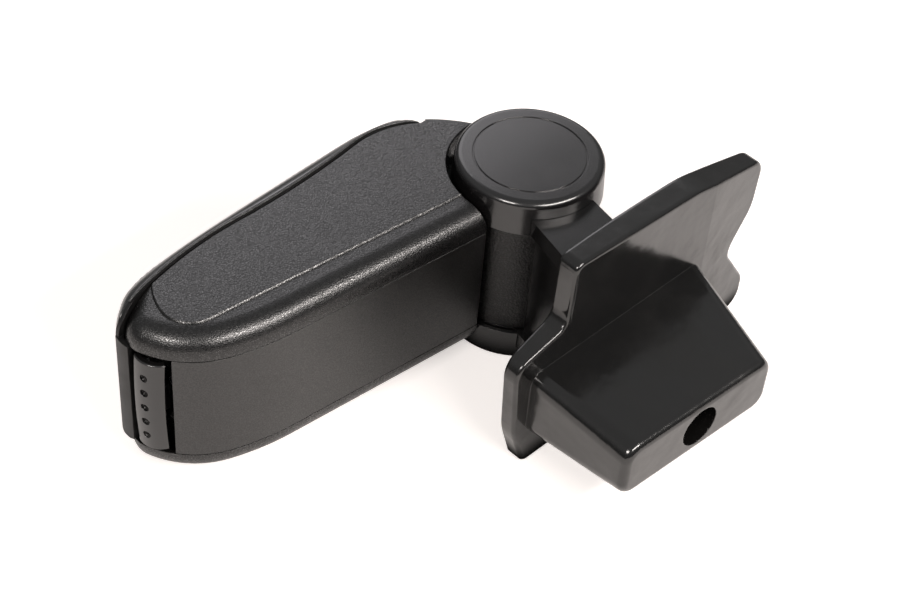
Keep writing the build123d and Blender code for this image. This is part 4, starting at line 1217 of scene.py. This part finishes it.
def make_world():
    """Surroundings: white to the eye, plain fill light, and a dim room in reflections."""
    world = bpy.data.worlds.new("studio")
    bpy.context.scene.world = world
    world.use_nodes = True
    tree = world.node_tree
    tree.nodes.clear()
    path = add_node(tree, "ShaderNodeLightPath")
    way = add_node(tree, "ShaderNodeSeparateXYZ")
    feed(tree, way.inputs[0], add_node(tree, "ShaderNodeTexCoord").outputs["Generated"])
    sky = ramp(tree, way.outputs["Y"], SKY_SPAN, SKY_LEVELS)
    level = blend_values(tree, path.outputs["Is Glossy Ray"], ROOM_LIGHT, sky)
    plain = calc(tree, "MAXIMUM", path.outputs["Is Camera Ray"], path.outputs["Is Transmission Ray"])
    glow = add_node(tree, "ShaderNodeBackground")
    feed(tree, glow.inputs["Strength"], blend_values(tree, plain, level, ROOM_WHITE))
    output = add_node(tree, "ShaderNodeOutputWorld")
    tree.links.new(glow.outputs[0], output.inputs["Surface"])


def add_softbox(name, place, aim, width, height, radiance, tone, roll):
    """Area lamp at a place, looking at its aim, with its face rolled about that line."""
    lamp = bpy.data.lights.new(name, "AREA")
    lamp.shape = "RECTANGLE"
    lamp.size = width
    lamp.size_y = height
    lamp.energy = radiance * math.pi * width * height
    lamp.color = tone
    made = bpy.data.objects.new(name, lamp)
    bpy.context.scene.collection.objects.link(made)
    made.location = place
    ahead = (Vector(aim) - Vector(place)).normalized()
    across = ahead.cross(Vector((0, 1, 0))).normalized()
    upward = across.cross(ahead)
    right = across * math.cos(roll) + upward * math.sin(roll)
    turn = Matrix((right, -ahead.cross(right), -ahead)).transposed()
    made.rotation_mode = "QUATERNION"
    made.rotation_quaternion = turn.to_quaternion()
    made.visible_camera = False


def make_camera(scene):
    """Camera at the photograph's viewing angle."""
    lens = bpy.data.cameras.new("photo_camera")
    lens.lens = CAMERA_LENS
    lens.sensor_width = CAMERA_SENSOR
    camera = bpy.data.objects.new("photo_camera", lens)
    scene.collection.objects.link(camera)
    turn = Matrix((CAMERA_RIGHT, CAMERA_UP, CAMERA_BACK)).transposed().to_4x4()
    camera.matrix_world = Matrix.Translation(CAMERA_PLACE) @ turn
    scene.camera = camera


class ARMREST_OT_stage(bpy.types.Operator):
    """Set the floor, surroundings, lamps and camera; the armrest lies on its right side"""

    bl_idname = "armrest.stage"
    bl_label = "Stage"

    def execute(self, context):
        context.scene.view_settings.view_transform = "Standard"
        make_floor(context.scene.armrest_colours.floor)
        make_world()
        for softbox in SOFTBOXES:
            add_softbox(*softbox)
        make_camera(context.scene)
        return {"FINISHED"}


OPERATORS = (
    ARMREST_OT_finishes,
    ARMREST_OT_lid_cushion,
    ARMREST_OT_lid_stitching,
    ARMREST_OT_lid_bead,
    ARMREST_OT_side_shells,
    ARMREST_OT_covers,
    ARMREST_OT_hub,
    ARMREST_OT_adapter,
    ARMREST_OT_latch,
    ARMREST_OT_button_studs,
    ARMREST_OT_latch_spring,
    ARMREST_OT_fasteners,
    ARMREST_OT_stage,
)


class ARMREST_PT_panel(bpy.types.Panel):
    """Sidebar list of the armrest's pieces, sizes and colours"""

    bl_idname = "ARMREST_PT_panel"
    bl_label = "Car centre armrest"
    bl_space_type = "VIEW_3D"
    bl_region_type = "UI"
    bl_category = "Armrest"

    def draw(self, context):
        for values in (context.scene.armrest_sizes, context.scene.armrest_colours):
            for key in values.__annotations__:
                self.layout.prop(values, key)
        for operator in OPERATORS:
            self.layout.operator(operator.bl_idname)


CLASSES = (ArmrestSizes, ArmrestColours, *OPERATORS, ARMREST_PT_panel)


def register():
    """Register the classes and hang the sizes and colours on the scene."""
    for item in CLASSES:
        bpy.utils.register_class(item)
    bpy.types.Scene.armrest_sizes = PointerProperty(type=ArmrestSizes)
    bpy.types.Scene.armrest_colours = PointerProperty(type=ArmrestColours)


def unregister():
    """Undo register."""
    del bpy.types.Scene.armrest_colours
    del bpy.types.Scene.armrest_sizes
    for item in reversed(CLASSES):
        bpy.utils.unregister_class(item)


def main():
    """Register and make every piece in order."""
    register()
    bpy.ops.armrest.finishes()
    bpy.ops.armrest.lid_cushion()
    bpy.ops.armrest.lid_stitching()
    bpy.ops.armrest.lid_bead()
    bpy.ops.armrest.side_shells()
    bpy.ops.armrest.covers()
    bpy.ops.armrest.hub()
    bpy.ops.armrest.adapter()
    bpy.ops.armrest.latch()
    bpy.ops.armrest.button_studs()
    bpy.ops.armrest.latch_spring()
    bpy.ops.armrest.fasteners()
    bpy.ops.armrest.stage()


if __name__ == "__main__":
    main()
